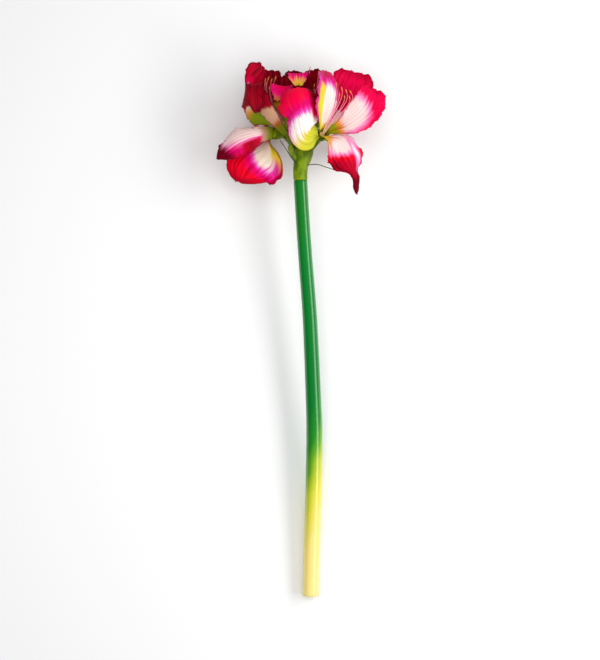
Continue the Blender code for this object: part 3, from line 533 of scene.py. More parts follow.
# Each petal: where its foot stands round the bloom's axis, the course of its midrib, which way its inner
# face looks along it, its widest half width, how it is hollowed across, and its waves by height, count and
# shift. Each bunch of stamens: the courses of its two outer threads, and how much of its own course each
# thread runs.
blooms = {
    "right": {
        "throat": (23, 14, 18),
        "axis": (0.32, 0.20, 0.92),
        "petals": [
            {"name": "front", "whorl": "outer", "azimuth": 190,
             "path": [(4, 14, 40), (-1, 35, 48), (-9, 57, 46), (-11, 72, 38)],
             "face": [(0.0, -0.1, 1.0), (0.0, 0.0, 1.0), (-0.1, 0.2, 0.95), (-0.1, 0.5, 0.8)],
             "width": 30.5, "outline": "shield", "cup": -0.95, "ruffle": (1.9, 3.0, 0.4)},
            {"name": "upper", "whorl": "inner", "azimuth": 130,
             "path": [(27, 50, 37), (30, 75, 30), (26, 97, 17)],
             "face": [(0.6, 0.0, 0.8), (0.6, 0.0, 0.8), (0.5, 0.1, 0.8)],
             "width": 18.5, "outline": "full", "cup": 0.4, "ruffle": (1.4, 4.0, 1.0)},
            {"name": "back", "whorl": "outer", "azimuth": 70,
             "path": [(49, 50, 2), (61, 76, -6), (67, 99, -8)],
             "face": [(-0.1, -0.1, 1.0), (-0.1, 0.0, 1.0), (0.1, 0.2, 0.95)],
             "width": 28, "outline": "square", "cup": 0.2, "ruffle": (2.6, 3.5, 2.0)},
            {"name": "side", "whorl": "inner", "azimuth": 13,
             "path": [(60, 30, 38), (79, 49, 32), (89, 74, 20)],
             "face": [(-0.1, 0.1, 1.0), (0.05, 0.0, 1.0), (0.3, 0.1, 0.95)],
             "width": 21, "outline": "spoon", "cup": 0.2, "ruffle": (2.2, 3.0, 0.0), "lean": 0.14},
            {"name": "rear", "whorl": "outer", "azimuth": -50,
             "path": [(47, 2, 8), (53, 3, -16), (57, 8, -38), (60, 13, -60)],
             "face": [(0.5, 0.6, 0.6), (0.4, 0.85, 0.25), (0.4, 0.85, 0.25), (0.5, 0.75, 0.3)],
             "width": 17, "outline": "broad", "cup": 0.2, "ruffle": (1.4, 2.0, 0.0)},
            {"name": "lower", "whorl": "inner", "azimuth": -110,
             "path": [(46, 4, 37), (56, -13, 37), (64, -33, 34), (68, -47, 32), (68, -64, 30)],
             "face": [(0.0, 0.35, 0.95), (0.1, 0.0, 1.0), (0.2, 0.0, 1.0), (0.3, 0.0, 1.0), (0.3, 0.0, 1.0)],
             "width": 24, "outline": "tailed", "cup": -0.75, "ruffle": (1.8, 4.0, 0.0), "lean": 0.14},
        ],
        "stamens": [[(41, 31, 40), (54, 43, 46), (62, 55, 48), (58, 67, 48)],
                    [(31, 32, 41), (38, 48, 46), (42, 64, 46), (41, 80, 44)]],
        "reaches": [1.0, 0.9, 0.97, 0.86, 0.95, 0.84, 1.0],
    },
    "left": {
        "throat": (-20, 16, 2),
        "axis": (-0.42, 0.78, 0.46),
        "petals": [
            {"name": "tongue", "whorl": "outer", "azimuth": -95,
             "path": [(-48, 42, 35), (-56, 59, 41), (-60, 72, 43), (-62, 74, 50), (-63, 63, 54),
                      (-61, 38, 52)],
             "face": [(0.3, 0.4, -0.8), (0.3, 0.4, -0.8), (0.3, 0.8, -0.5), (-0.4, 0.8, 0.4), (0.1, 0.2, 1.0),
                      (0.2, 0.1, 1.0)],
             "width": 12, "outline": "ribbon", "cup": 0.4, "ruffle": (0.8, 3.0, 0.0)},
            {"name": "right", "whorl": "inner", "azimuth": -35,
             "path": [(-23, 46, 16), (-26, 62, 15), (-27, 74, 15), (-28, 76, 21), (-31, 67, 25),
                      (-36, 57, 25)],
             "face": [(0.3, 0.3, -0.9), (0.2, 0.4, -0.9), (0.1, 0.8, -0.6), (0.0, 0.8, 0.6), (0.0, 0.2, 1.0),
                      (0.0, 0.1, 1.0)],
             "width": 17, "outline": "ribbon", "cup": 0.4, "ruffle": (0.8, 3.0, 0.0)},
            {"name": "near", "whorl": "outer", "azimuth": 25,
             "path": [(-18, 50, -1), (-23, 72, -6), (-25, 95, -9)],
             "face": [(-0.5, 0.0, 0.85), (-0.4, 0.0, 0.9), (-0.3, 0.0, 0.95)],
             "width": 7, "outline": "blunt", "cup": 0.3, "ruffle": (0.8, 3.0, 2.0)},
            {"name": "back", "whorl": "inner", "azimuth": 85,
             "path": [(-38, 54, -13.5), (-43, 78, -19), (-43, 102, -16)],
             "face": [(0.0, -0.1, 1.0), (0.0, 0.0, 1.0), (0.0, -0.1, 1.0)],
             "width": 15.5, "outline": "square", "cup": 0.3, "ruffle": (1.8, 4.0, 1.0)},
            {"name": "far", "whorl": "outer", "azimuth": 135,
             "path": [(-45, 45, -17), (-58, 64, -26), (-62, 84, -26), (-57, 100, -22)],
             "face": [(0.6, -0.1, 0.7), (0.7, -0.2, 0.6), (0.7, -0.2, 0.7), (0.5, -0.2, 0.8)],
             "width": 13, "outline": "narrow", "cup": 0.3, "ruffle": (1.2, 3.0, 0.0)},
            {"name": "side", "whorl": "inner", "azimuth": -155,
             "path": [(-53, 32.5, 12), (-71, 46, 10), (-77, 67, 7), (-70, 88, 2), (-54, 106, -2)],
             "face": [(0.3, 0.7, -0.6), (0.6, 0.4, -0.6), (0.8, 0.1, -0.3), (0.6, -0.1, 0.7),
                      (0.4, -0.2, 0.9)],
             "width": 21, "outline": "blunt", "cup": 0.4, "ruffle": (1.8, 4.0, 0.0)},
        ],
        "stamens": [[(-28, 36, 7), (-37, 54, 0), (-40, 76, -4), (-36, 93, -4)],
                    [(-34, 38, 10), (-47, 56, 6), (-52, 78, 2), (-49, 96, 0)]],
        "reaches": [1.0, 0.85, 0.95, 0.82, 0.97, 0.88, 0.93],
    },
    "middle": {
        "throat": (6, 20, -18),
        "axis": (0.08, 0.82, -0.56),
        "petals": [
            {"name": "front", "whorl": "inner", "azimuth": -90,
             "path": [(2, 52, -6), (-3, 76, 6), (-7, 90, 16), (-8, 91, 26), (-8, 76, 30)],
             "face": [(0.0, 0.3, -0.9), (0.0, 0.4, -0.9), (0.0, 0.8, -0.5), (0.0, 0.7, 0.7), (0.0, 0.2, 1.0)],
             "width": 15.5, "outline": "blunt", "cup": 0.3, "ruffle": (0.6, 3.0, 0.0)},
            {"name": "right", "whorl": "outer", "azimuth": -30,
             "path": [(27, 54, -14), (29, 72, -16), (31, 86, -18)],
             "face": [(-0.8, 0.2, -0.2), (-0.9, 0.1, -0.1), (-0.9, 0.1, 0.0)],
             "width": 9.5, "outline": "broad", "cup": 0.2, "ruffle": (1.0, 2.0, 0.0)},
            {"name": "topright", "whorl": "inner", "azimuth": 30,
             "path": [(14, 60, -34), (14, 84, -30), (9, 103, -20)],
             "face": [(-0.3, 0.0, 1.0), (-0.3, 0.0, 1.0), (-0.1, -0.3, 0.9)],
             "width": 16, "outline": "square", "cup": 0.4, "ruffle": (2.0, 4.0, 2.0)},
            {"name": "rear", "whorl": "outer", "azimuth": 96,
             "path": [(2, 44, -46), (0, 66, -51), (-3, 88, -50)],
             "face": [(0.0, 0.3, 1.0), (0.0, 0.1, 1.0), (0.0, 0.0, 1.0)],
             "width": 19, "outline": "spoon", "cup": 0.2, "ruffle": (1.6, 3.0, 0.0)},
            {"name": "topleft", "whorl": "inner", "azimuth": 150,
             "path": [(-10, 60, -36), (-13, 84, -35), (-12, 103, -27)],
             "face": [(0.3, 0.0, 1.0), (0.2, 0.0, 1.0), (0.1, -0.3, 0.9)],
             "width": 14, "outline": "square", "cup": 0.3, "ruffle": (1.8, 4.0, 0.0)},
            {"name": "left", "whorl": "outer", "azimuth": -150,
             "path": [(-13, 46, -14), (-15, 64, -14), (-15, 80, -14)],
             "face": [(0.8, 0.1, -0.2), (0.8, 0.0, 0.1), (0.8, 0.0, 0.3)],
             "width": 7.5, "outline": "broad", "cup": 0.2, "ruffle": (0.8, 2.0, 0.0)},
        ],
        "stamens": [[(6, 44, -27), (4, 66, -26), (6, 90, -20), (8, 107, -14)],
                    [(10, 44, -28), (14, 66, -24), (18, 86, -16), (20, 102, -10)]],
        "reaches": [1.0, 0.72, 0.8, 0.68, 0.77, 0.7, 1.0],
    },
    "low": {
        "throat": (-38, 19, -14),
        "axis": (-0.86, 0.0, 0.30),
        "petals": [
            {"name": "fold", "whorl": "outer", "azimuth": -5,
             "path": [(-58, 15, 15), (-74, 11, 19), (-92, 2, 20), (-113, -17, 14)],
             "face": [(0.0, -0.2, -1.0), (0.0, -0.3, -0.95), (0.0, -0.4, -0.9), (0.1, -0.3, -0.9)],
             "width": 21.5, "outline": "leaf", "cup": 0.9, "ruffle": (1.8, 3.0, 0.0)},
            {"name": "lining", "whorl": "inner", "azimuth": -60,
             "path": [(-60, 6, 0), (-70, 1, 2), (-79, -4, 2)],
             "face": [(0.0, 0.7, -0.6), (0.0, 0.7, -0.6), (0.0, 0.7, -0.6)],
             "width": 8.5, "outline": "broad", "cup": 0.3, "ruffle": (0.6, 2.0, 0.0)},
            {"name": "broad", "whorl": "outer", "azimuth": -110,
             "path": [(-54, -3, -12), (-68, -14, -6), (-80, -28, 0), (-86, -46, 1)],
             "face": [(-0.3, 0.4, 0.9), (-0.1, 0.2, 1.0), (0.0, 0.0, 1.0), (0.0, -0.1, 1.0)],
             "width": 36, "outline": "fan", "cup": -0.35, "ruffle": (2.6, 4.0, 0.0), "lean": -0.26},
            {"name": "end", "whorl": "inner", "azimuth": -165,
             "path": [(-66, 17.5, -30.5), (-79, 12, -42), (-91, 3, -50)],
             "face": [(-0.4, 0.2, 0.9), (-0.3, 0.3, 0.9), (-0.3, 0.3, 0.9)],
             "width": 12, "outline": "spoon", "cup": -0.2, "ruffle": (1.4, 2.0, 0.0)},
            {"name": "rear", "whorl": "outer", "azimuth": 145,
             "path": [(-53, 26, -38), (-59, 20, -51), (-70, 13, -62)],
             "face": [(-0.7, -0.1, 0.7), (-0.6, 0.0, 0.8), (-0.5, 0.1, 0.9)],
             "width": 17, "outline": "broad", "cup": 0.1, "ruffle": (1.4, 2.0, 0.0)},
            {"name": "top", "whorl": "inner", "azimuth": 100,
             "path": [(-57, 31.5, -19), (-62, 36, -32), (-68, 40, -44)],
             "face": [(-0.6, -0.4, 0.7), (-0.6, -0.2, 0.7), (-0.5, 0.1, 0.8)],
             "width": 13, "outline": "broad", "cup": 0.1, "ruffle": (1.2, 2.0, 0.0)},
        ],
        "stamens": [[(-50, 17, -8), (-58, 14, -6), (-66, 10, -4), (-75, 6, -4)],
                    [(-50, 19, -11), (-60, 18, -11), (-70, 15, -11), (-80, 9, -11)]],
        "reaches": [1.0, 0.9, 0.96, 0.86, 0.94, 0.84, 1.0],
    },
}


def addGrid(name, columns, rows):
    # a flat grid, and the row and the column of each of its vertices
    bpy.ops.object.select_all(action="DESELECT")
    bpy.ops.mesh.primitive_grid_add(x_subdivisions=columns, y_subdivisions=rows, size=1)
    sheet = bpy.context.object
    sheet.name = sheet.data.name = name
    flat = np.zeros(len(sheet.data.vertices) * 3, np.float32)
    sheet.data.vertices.foreach_get("co", flat)
    shares = flat.reshape(-1, 3) + 0.5
    return sheet, np.rint(shares[:, 1] * rows).astype(int), np.rint(shares[:, 0] * columns).astype(int)


def moveTo(piece, points, lowest=-1.0):
    # no point goes below the lowest height, in metres
    placed = laid(points)
    placed[:, 2] = np.maximum(placed[:, 2], lowest)
    piece.data.vertices.foreach_set("co", placed.astype(np.float32).ravel())
    piece.data.update()


def applyAll(piece):
    bpy.context.view_layer.objects.active = piece
    for modifier in list(piece.modifiers):
        bpy.ops.object.modifier_apply(modifier=modifier.name)


def runningSum(slopes, step):
    halves = (slopes[:, 1:] + slopes[:, :-1]) / 2 * step
    total = np.concatenate([np.zeros((len(slopes), 1)), np.cumsum(halves, axis=1)], axis=1)
    return total - total[:, [slopes.shape[1] // 2]]


def petalSurface(bloom, petal, rows, columns, seed):
    # the middle surface of a petal, row 0 at its foot
    shape, whorl = petalShape, whorls[petal["whorl"]]
    axis = unit(bloom["axis"])
    outward = unit(np.array([1.0, 0, 0]) - axis[0] * axis)
    turn = math.radians(petal["azimuth"])
    radial = math.cos(turn) * outward + math.sin(turn) * np.cross(axis, outward)
    throat = np.array(bloom["throat"], float)
    foot = throat + shape["footLift"] * axis + whorl["radius"] * radial
    collar = foot + shape["footRise"] * axis + shape["footLean"] * radial
    opening = throat + whorl["rise"] * axis + whorl["spread"] * radial
    middle, knotsAt = smoothCurve([foot, collar, opening, *petal["path"]], rows + 1)
    length = np.linalg.norm(np.diff(middle, axis=0), axis=1).sum()
    along = np.gradient(middle, axis=0)
    along[0] = axis
    along /= np.linalg.norm(along, axis=1)[:, None]

    u = np.linspace(0, 1, rows + 1)
    openingLook = shape["openingLooksUp"] * axis - radial
    looks = np.array([-radial, -radial, openingLook, *[unit(look) for look in petal["face"]]])
    look = np.stack([np.interp(u, knotsAt, looks[:, k]) for k in range(3)], axis=1)
    side = np.cross(along, look)
    side = smoothed(side / np.linalg.norm(side, axis=1)[:, None], round(shape["smoothing"] * rows))
    face = np.cross(side, along)
    face /= np.linalg.norm(face, axis=1)[:, None]

    half = np.maximum(petal["width"] * widthShares(outlines[petal["outline"]], u), shape["narrowest"])
    offset = middle - throat
    reach = np.linalg.norm(offset - (offset @ axis)[:, None] * axis, axis=1)
    beyond = np.maximum(0, reach - whorl["free"])
    half = np.minimum(half, whorl["crowding"] * reach + shape["widening"] * beyond)
    loosening = 1 + (whorl["hug"] - 1) * eased(u / shape["looseAt"])
    hug = np.minimum(half / reach, shape["hugMost"]) * loosening
    cup = hug + (petal["cup"] - hug) * easedBetween(u, *shape["hugEnds"])
    v = np.linspace(-1, 1, columns + 1)
    angle = cup[:, None] * v
    step = half[:, None] * (v[1] - v[0])
    x, z = runningSum(np.cos(angle), step), runningSum(np.sin(angle), step)
    leaning = 1 + petal.get("lean", 0) * easedBetween(u, *shape["leanEnds"])[:, None] * np.sign(v)
    x, z = x * leaning, z * leaning

    height, waves, phase = petal["ruffle"]
    swell = (easedBetween(u, *shape["wavesStart"]) * np.minimum(1, 2 * half / petal["width"]))[:, None]
    travelled, aside = u[:, None] * length, np.abs(v)
    wave = np.sin(2 * np.pi * waves * u[:, None] + phase + np.where(v < 0, 0.0, shape["waveLag"]))
    lift = height * wave * swell * aside ** shape["wavePower"]
    seeds = np.where(v < 0, seed, seed + shape["rightHalfSeed"])
    frill = uneven(travelled / shape["frillLength"], seeds)
    lift += shape["frillHeight"] * frill * swell * aside ** shape["frillPower"]
    ribs = np.cos(np.pi * shape["ribs"] * v) * (1 - v**2)
    lift += shape["ribHeight"] * ribs * swell * (1 - easedBetween(u, *shape["ribsFade"]))[:, None]
    crinkle = uneven(travelled / shape["crinkleLength"] - shape["crinkleSlant"] * aside, seeds + 7)
    lift += shape["crinkleHeight"] * crinkle * swell * aside ** shape["crinklePower"]
    x, z = x - np.sin(angle) * lift, z + np.cos(angle) * lift
    cut = shape["cutDepth"] * uneven(travelled / shape["cutLength"] + shape["cutShift"], seeds + 1)
    x = x * (1 + swell * aside ** shape["cutPower"] * cut / half[:, None])
    tip = shape["tipCut"] * uneven(v * half.max() / shape["tipLength"], seed + 3)
    tip = tip * easedBetween(u, shape["tipStart"], 1)[:, None]
    return (
        middle[:, None] + side[:, None] * x[:, :, None] + face[:, None] * z[:, :, None]
        + along[:, None] * tip[:, :, None]
    )


def makePetal(bloomName, bloom, petal, seed):
    shape = petalShape
    name = "petal" + bloomName.capitalize() + petal["name"].capitalize()
    surface = petalSurface(bloom, petal, shape["rows"], shape["columns"], seed)
    sheet, row, column = addGrid(name, shape["columns"], shape["rows"])
    thickness = shape["thickness"] / 1000
    moveTo(sheet, surface[row, column], thickness / 2)
    own = petalPrints.get(f"{bloomName} {petal['name']}", {})
    for label, common, shift in (("inside", insidePrint, 0), ("outside", outsidePrint, shape["outsideSeed"])):
        look = {**common, **own.get(label, {})}
        sheet.data.materials.append(petalMaterial(name + label.capitalize(), look, seed + shift))
    wall = sheet.modifiers.new("wall", "SOLIDIFY")
    wall.thickness = thickness
    wall.offset = 0
    wall.material_offset = 1
    applyAll(sheet)
    sheet.data.shade_smooth()
    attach(sheet, "root")
    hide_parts(f"petal_{bloomName}_{petal['name']}")


for bloomName, bloom in blooms.items():
    bloomSeed = petalShape["bloomSeed"] * len(bloomName)
    for number, petal in enumerate(bloom["petals"]):
        makePetal(bloomName, bloom, petal, bloomSeed + petalShape["petalSeed"] * number)
    print("petals made:", bloomName)


# Round pieces: a grid rolled up along a course, its two ends drawn to a point.
mergeDistance = 0.000002  # metres


def rollUp(name, course, radii, sides, flatness=1.0):
    course = np.asarray(course, float)
    tube, row, column = addGrid(name, sides, len(course) - 1)
    turns = 2 * np.pi * np.arange(sides + 1) / sides
    along = np.gradient(course, axis=0)
    first = np.cross(along[0], (0, 0, 1))
    rings = []
    for centre, ahead, radius in zip(course, along, radii):
        ahead = unit(ahead)
        first = unit(first - (first @ ahead) * ahead)
        second = flatness * np.cross(ahead, first)
        rings.append(centre + radius * (np.outer(np.cos(turns), first) + np.outer(np.sin(turns), second)))
    moveTo(tube, np.array(rings)[row, column])
    bpy.ops.object.mode_set(mode="EDIT")
    bpy.ops.mesh.select_all(action="SELECT")
    bpy.ops.mesh.remove_doubles(threshold=mergeDistance)
    bpy.ops.mesh.normals_make_consistent(inside=False)
    bpy.ops.object.mode_set(mode="OBJECT")
    tube.data.shade_smooth()
    return tube


def joined(parts):
    bpy.ops.object.select_all(action="DESELECT")
    for part in parts:
        part.select_set(True)
    bpy.context.view_layer.objects.active = parts[0]
    bpy.ops.object.join()
    return parts[0]


def withEnds(course, radii, edge, cap=0.001, corner=0.3):
    # flat ends with a small rounded edge, closed in the middle
    inwards = np.array([0, cap, corner * edge, edge])[:, None]
    narrowing = np.array([edge, corner * edge])
    start, stop = unit(course[1] - course[0]), unit(course[-1] - course[-2])
    course = np.vstack([course[0] + inwards * start, course[1:-1], course[-1] - inwards[::-1] * stop])
    radii = np.concatenate([[0], radii[0] - narrowing, radii, radii[-1] - narrowing[::-1], [0]])
    return course, radii


def uprightCourse(shape):
    # a smooth course with flat ends, and its radii, from rows of height, place across and radius
    knots = [(x, y, 0, radius) for y, x, radius in shape["course"]]
    course, _ = smoothCurve(knots, shape["rings"])
    return withEnds(course[:, :3], course[:, 3], shape["edge"])


def tapered(rings, start, end):
    # shares of a radius that falls to nothing at both ends, sooner there for larger numbers
    shares = np.linspace(0, 1, rings)
    return np.sqrt(np.clip(shares * start, 0, 1) * np.clip((1 - shares) * end, 0, 1))


stemShape = {
    "course": [(-586, 8.5, 10.6), (-538, 9.7, 10.6), (-460, 12.3, 10.8), (-382, 13.6, 10.6),
               (-330, 12.3, 10.1), (-226, 7.8, 9.5), (-148, 2.0, 9.2), (-96, -1.6, 9.0), (-44.3, -4.6, 9.0)],
    "rings": 120, "sides": 56, "edge": 0.7,
    "roughness": 0.34, "specular": 0.25, "coat": 0.8, "coatRoughness": 0.15,
    "cloudNoise": (25, 2), "cloudDepth": 0.03, "fadeSlant": 3.1, "fadeMiddle": 0.0148,
    "fade": [(0.0, (246, 226, 138)), (0.14, (242, 221, 124)), (0.22, (222, 211, 68)),
             (0.28, (176, 194, 38)), (0.33, (98, 160, 24)), (0.38, (30, 134, 28)), (0.47, (0, 118, 38)),
             (0.88, (0, 124, 42)), (1.0, (18, 120, 32))],
    "grainNoise": (900, 3), "bump": (0.08, 0.0003),
}


def stemMaterial():
    # cream at the cut end, yellow-green further up on its right side than on its left, and then green
    shape = stemShape
    material, tree, shader = newMaterial(
        "glossyStem", shape["roughness"], Specular_IOR_Level=shape["specular"],
        Coat_Weight=shape["coat"], Coat_Roughness=shape["coatRoughness"],
    )
    place = ownPlace(tree)
    apart = partsOf(tree, place)
    cloud = calculate(tree, "SUBTRACT", noiseOf(tree, place, *shape["cloudNoise"]), 0.5)
    height = calculate(tree, "MULTIPLY_ADD", cloud, shape["cloudDepth"], apart["Y"])
    sideways = calculate(tree, "SUBTRACT", apart["X"], shape["fadeMiddle"])
    height = calculate(tree, "MULTIPLY_ADD", sideways, -shape["fadeSlant"], height)
    low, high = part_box("stem")
    share = calculate(tree, "DIVIDE", calculate(tree, "SUBTRACT", height, low.y), high.y - low.y)
    grain = noiseOf(tree, place, *shape["grainNoise"])
    finishWith(tree, shader, rampOf(tree, share, shape["fade"]), grain, shape["bump"])
    return material


def makeStem():
    stem = rollUp("stemRod", *uprightCourse(stemShape), stemShape["sides"])
    stem.data.materials.append(stemMaterial())
    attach(stem, "root")
    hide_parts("stem")


makeStem()
print("stem made")

# The neck, threads and bract share one mottled finish with fine fibres along the stem.
mottle = {
    "specular": 0.2, "patchNoise": (70, 2), "patchEdges": (0.38, 0.62), "fibreStretch": (6, 1, 6),
    "fibreNoise": (130, 3), "fibreEdges": (0.45, 0.75), "fibreShare": 0.28, "bump": (0.35, 0.0005),
}
neckShape = {
    "course": [(-44.0, -4.6, 9.2), (-34, -4.9, 9.3), (-24, -4.0, 9.9), (-14, -1.4, 11.4), (-6, 0.2, 12.2),
               (-1, 0.6, 10.5), (2, 0.6, 4.0)],
    "rings": 40, "sides": 40, "edge": 0.6,
    "gap": 0.3, "stalkStart": (0, -12, 0), "stalkStraight": 14, "stalkRadii": [5.0, 5.2, 5.4, 5.8, 6.8, 8.7],
    "stalkRings": 30, "stalkSides": 28, "voxel": 0.9, "softening": 0.5, "softenings": 8,
    "finish": {"light": (128, 154, 8), "dark": (84, 114, 4), "dry": (52, 62, 6), "roughness": 0.42},
}
threadShape = {
    "courses": {"Left": [(-6, -26, 4), (-15, -17, 10), (-24, -3, 10), (-32, 9, 6)],
                "Right": [(0, -25, 3), (9, -24, 7), (18, -24, 9), (29, -27.5, 9), (40.5, -31, 7)]},
    "radius": 0.55, "rings": 60, "sides": 10, "taper": (20, 8),
    "finish": {"light": (88, 104, 78), "dark": (46, 58, 36), "dry": (30, 30, 20), "roughness": 0.6},
}
bractShape = {
    "course": [(-8, -22, 4, 2.0), (-14, -12, 8, 3.6), (-17.5, -3, 9, 3.4), (-18.5, 5, 8, 0.9)],
    "rings": 48, "sides": 28, "flatness": 0.5, "taper": (12, 6),
    "finish": {"light": (150, 166, 44), "dark": (88, 108, 20), "dry": (40, 46, 12), "roughness": 0.5},
}


def greenMaterial(name, light, dark, dry, roughness):
    material, tree, shader = newMaterial(name, roughness, Specular_IOR_Level=mottle["specular"])
    place = ownPlace(tree)
    stretch = tree.nodes.new("ShaderNodeMapping")
    stretch.inputs["Scale"].default_value = mottle["fibreStretch"]
    tree.links.new(place, stretch.inputs[0])
    fibres = noiseOf(tree, stretch.outputs[0], *mottle["fibreNoise"])
    patches = softStep(tree, noiseOf(tree, place, *mottle["patchNoise"]), *mottle["patchEdges"])
    colour = mixColour(tree, patches, paint(*light), paint(*dark))
    dryness = softStep(tree, fibres, *mottle["fibreEdges"])
    dryness = calculate(tree, "MULTIPLY", dryness, mottle["fibreShare"])
    finishWith(tree, shader, mixColour(tree, dryness, colour, paint(*dry)), fibres, mottle["bump"])
    return material


def makeNeck():
    shape = neckShape
    parts = [rollUp("neckAndStalks", *uprightCourse(shape), shape["sides"])]
    start = np.array(shape["stalkStart"], float)
    radiiAt = np.linspace(0, 1, len(shape["stalkRadii"]))
    radii = np.interp(np.linspace(0, 1, shape["stalkRings"]), radiiAt, shape["stalkRadii"])
    for bloomName, bloom in blooms.items():
        axis = unit(bloom["axis"])
        end = np.array(bloom["throat"]) - shape["gap"] * axis
        bend = end - shape["stalkStraight"] * axis
        course, _ = smoothCurve([start, (start + bend) / 2, bend, end], shape["stalkRings"])
        name = "stalk" + bloomName.capitalize()
        parts.append(rollUp(name, *withEnds(course, radii, shape["edge"]), shape["stalkSides"]))
    neck = joined(parts)
    skin = neck.modifiers.new("oneSkin", "REMESH")
    skin.mode = "VOXEL"
    skin.voxel_size = shape["voxel"] / 1000
    soften = neck.modifiers.new("soften", "SMOOTH")
    soften.factor = shape["softening"]
    soften.iterations = shape["softenings"]
    applyAll(neck)
    neck.data.shade_smooth()
    neck.data.materials.append(greenMaterial("neckGreen", **shape["finish"]))
    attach(neck, "root")
    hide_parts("neck")


def makeThreads():
    shape = threadShape
    material = greenMaterial("threadGreen", **shape["finish"])
    radii = shape["radius"] * tapered(shape["rings"], *shape["taper"])
    for side, points in shape["courses"].items():
        course, _ = smoothCurve(points, shape["rings"])
        thread = rollUp("thread" + side, course, radii, shape["sides"])
        thread.data.materials.append(material)
        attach(thread, "root")
        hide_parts("neck")


def makeBract():
    shape = bractShape
    course, _ = smoothCurve(shape["course"], shape["rings"])
    radii = course[:, 3] * tapered(shape["rings"], *shape["taper"])
    bract = rollUp("bract", course[:, :3], radii, shape["sides"], shape["flatness"])
    bract.data.materials.append(greenMaterial("bractGreen", **shape["finish"]))
    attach(bract, "root")
    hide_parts("neck")


makeNeck()
makeThreads()
makeBract()
print("neck, threads and bract made")

stamenShape = {
    "sways": [-1.0, 0.7, -0.3, 1.0, -0.8, 0.4, 0.9], "swayAtRoot": 0.8, "swayAlong": [1.0, 2.0, 2.6, 1.2],
    "radius": 0.46, "antherRadius": 0.74, "antherStart": (0.93, 0.95), "taper": (1000, 22),
    "rings": 60, "sides": 10, "steps": 400, "rootFan": 1.4, "rootRise": 6, "sink": 1.0,
    "seatRadius": 3.4, "seatHeight": 3.0, "seatRings": 14, "seatSides": 24, "seatTint": 0.1,
    "roughness": 0.5, "pollenNoise": (1800, 2), "pollenEdges": (0.5, 0.8), "pollenShare": 0.35,
    "pollen": (190, 60, 40), "bump": (0.3, 0.0002),
    "colours": [(0.0, (236, 206, 120)), (0.18, (244, 196, 186)), (0.6, (236, 140, 160)),
                (0.9, (222, 96, 110)), (0.94, (222, 120, 64)), (1.0, (236, 166, 84))],
}


def stamenMaterial():
    shape = stamenShape
    material, tree, shader = newMaterial("filament", shape["roughness"])
    colour = rampOf(tree, partsOf(tree, ownUV(tree))["Y"], shape["colours"])
    pollen = noiseOf(tree, ownPlace(tree), *shape["pollenNoise"])
    dusted = calculate(tree, "MULTIPLY", softStep(tree, pollen, *shape["pollenEdges"]), shape["pollenShare"])
    colour = mixColour(tree, dusted, colour, paint(*shape["pollen"]))
    finishWith(tree, shader, colour, pollen, shape["bump"])
    return material


def makeStamens(bloomName, bloom, material):
    shape = stamenShape
    axis = unit(bloom["axis"])
    base = np.array(bloom["throat"], float) + petalShape["footLift"] * axis
    seatCourse = base + np.outer(np.linspace(0, shape["seatHeight"], shape["seatRings"]), axis)
    seatRadii = shape["seatRadius"] * np.sqrt(1 - np.linspace(-1, 1, shape["seatRings"]) ** 4)
    seat = rollUp("stamens" + bloomName.capitalize(), seatCourse, seatRadii, shape["seatSides"])
    for corner in seat.data.uv_layers["UVMap"].data:
        corner.uv.y *= shape["seatTint"]
    parts = [seat]
    first, last = np.array(bloom["stamens"], float)
    fan = unit(last[0] - first[0])
    sway = unit(np.cross(axis, fan))
    swelling = easedBetween(np.linspace(0, 1, shape["rings"]), *shape["antherStart"])
    radii = shape["radius"] + (shape["antherRadius"] - shape["radius"]) * swelling
    radii = radii * tapered(shape["rings"], *shape["taper"])
    shares = np.linspace(0, 1, len(shape["sways"]))
    for share, lean, reach in zip(shares, shape["sways"], bloom["reaches"]):
        guide = first + (last - first) * share + lean * np.outer(shape["swayAlong"], sway)
        root = base + shape["sink"] * axis + shape["rootFan"] * (2 * share - 1) * fan
        root = root + shape["swayAtRoot"] * lean * sway
        dense, _ = smoothCurve([root, root + shape["rootRise"] * axis, *guide], shape["steps"] + 1)
        picks = np.linspace(0, shape["steps"] * reach, shape["rings"]).round().astype(int)
        parts.append(rollUp("stamen", dense[picks], radii, shape["sides"]))
    bunch = joined(parts)
    bunch.data.materials.append(material)
    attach(bunch, "root")
    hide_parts("stamens_" + bloomName)


filament = stamenMaterial()
for bloomName, bloom in blooms.items():
    makeStamens(bloomName, bloom, filament)
print("stamens made")

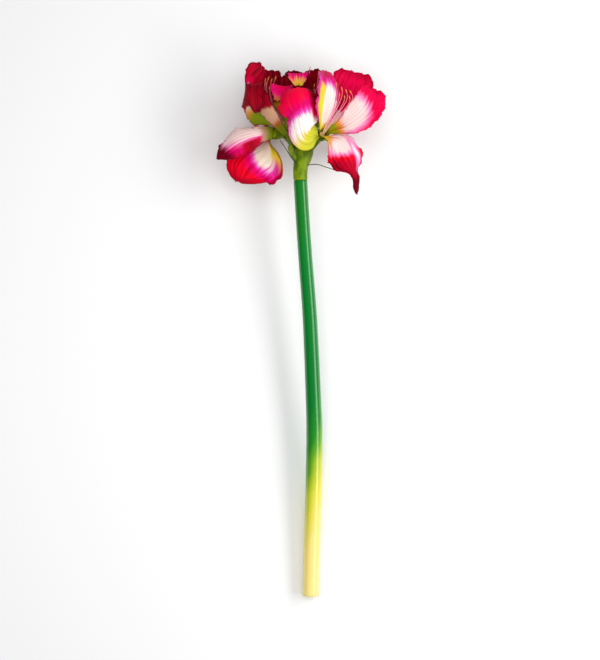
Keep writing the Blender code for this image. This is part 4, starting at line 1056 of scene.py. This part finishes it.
studio = {
    "photoScale": 1.3, "pixelsHigh": 660, "lens": 100, "sensor": 36, "middle": (-5.2, -239.2, 10),
    "clipEnd": 20, "keyPlace": (950, -60, 800), "keySize": (1.6, 0.5), "keyPower": 13,
    "fillPlace": (-200, -150, 1500), "fillSize": (1.8, 1.8), "fillPower": 18, "lightsFace": (0, -60, 0),
    "sky": 0.3, "floorSize": 8, "floorDrop": 0.0002, "floorTone": (246, 246, 246), "floorRoughness": 0.85,
}


def makeFloor():
    bpy.ops.mesh.primitive_plane_add(size=studio["floorSize"], location=(0, 0, -studio["floorDrop"]))
    floor = bpy.context.object
    floor.name = "studioFloor"
    material, _, shader = newMaterial("paleFloor", studio["floorRoughness"])
    shader.inputs["Base Color"].default_value = paint(*studio["floorTone"])
    floor.data.materials.append(material)


def makeLights():
    # only the key light shows in the gloss, as one line along the stem
    for label in ("key", "fill"):
        place = Vector(laid(studio[label + "Place"]))
        bpy.ops.object.light_add(type="AREA", location=place)
        light = bpy.context.object
        light.name = label + "Light"
        light.data.shape = "RECTANGLE"
        light.data.size, light.data.size_y = studio[label + "Size"]
        light.data.energy = studio[label + "Power"]
        light.visible_glossy = label == "key"
        facing = Vector(laid(studio["lightsFace"])) - place
        light.rotation_euler = facing.to_track_quat("-Z", "Y").to_euler()
    world = bpy.data.worlds.new("softRoom")
    world.use_nodes = True
    sky = world.node_tree.nodes["Background"].inputs
    sky["Color"].default_value = (1, 1, 1, 1)
    sky["Strength"].default_value = studio["sky"]
    bpy.context.scene.world = world
    world.cycles_visibility.glossy = False


def makeCamera():
    frameHeight = studio["photoScale"] * studio["pixelsHigh"]
    distance = frameHeight * studio["lens"] / studio["sensor"]
    x, y, z = studio["middle"]
    bpy.ops.object.camera_add(location=Vector(laid((x, y, z + distance))))
    camera = bpy.context.object
    camera.name = "photoCamera"
    camera.rotation_euler = turnDown.to_euler()
    camera.data.lens = studio["lens"]
    camera.data.sensor_width = studio["sensor"]
    camera.data.clip_end = studio["clipEnd"]
    bpy.context.scene.camera = camera


bpy.context.scene.view_settings.view_transform = "Standard"
makeFloor()
makeLights()
makeCamera()
print("studio made")
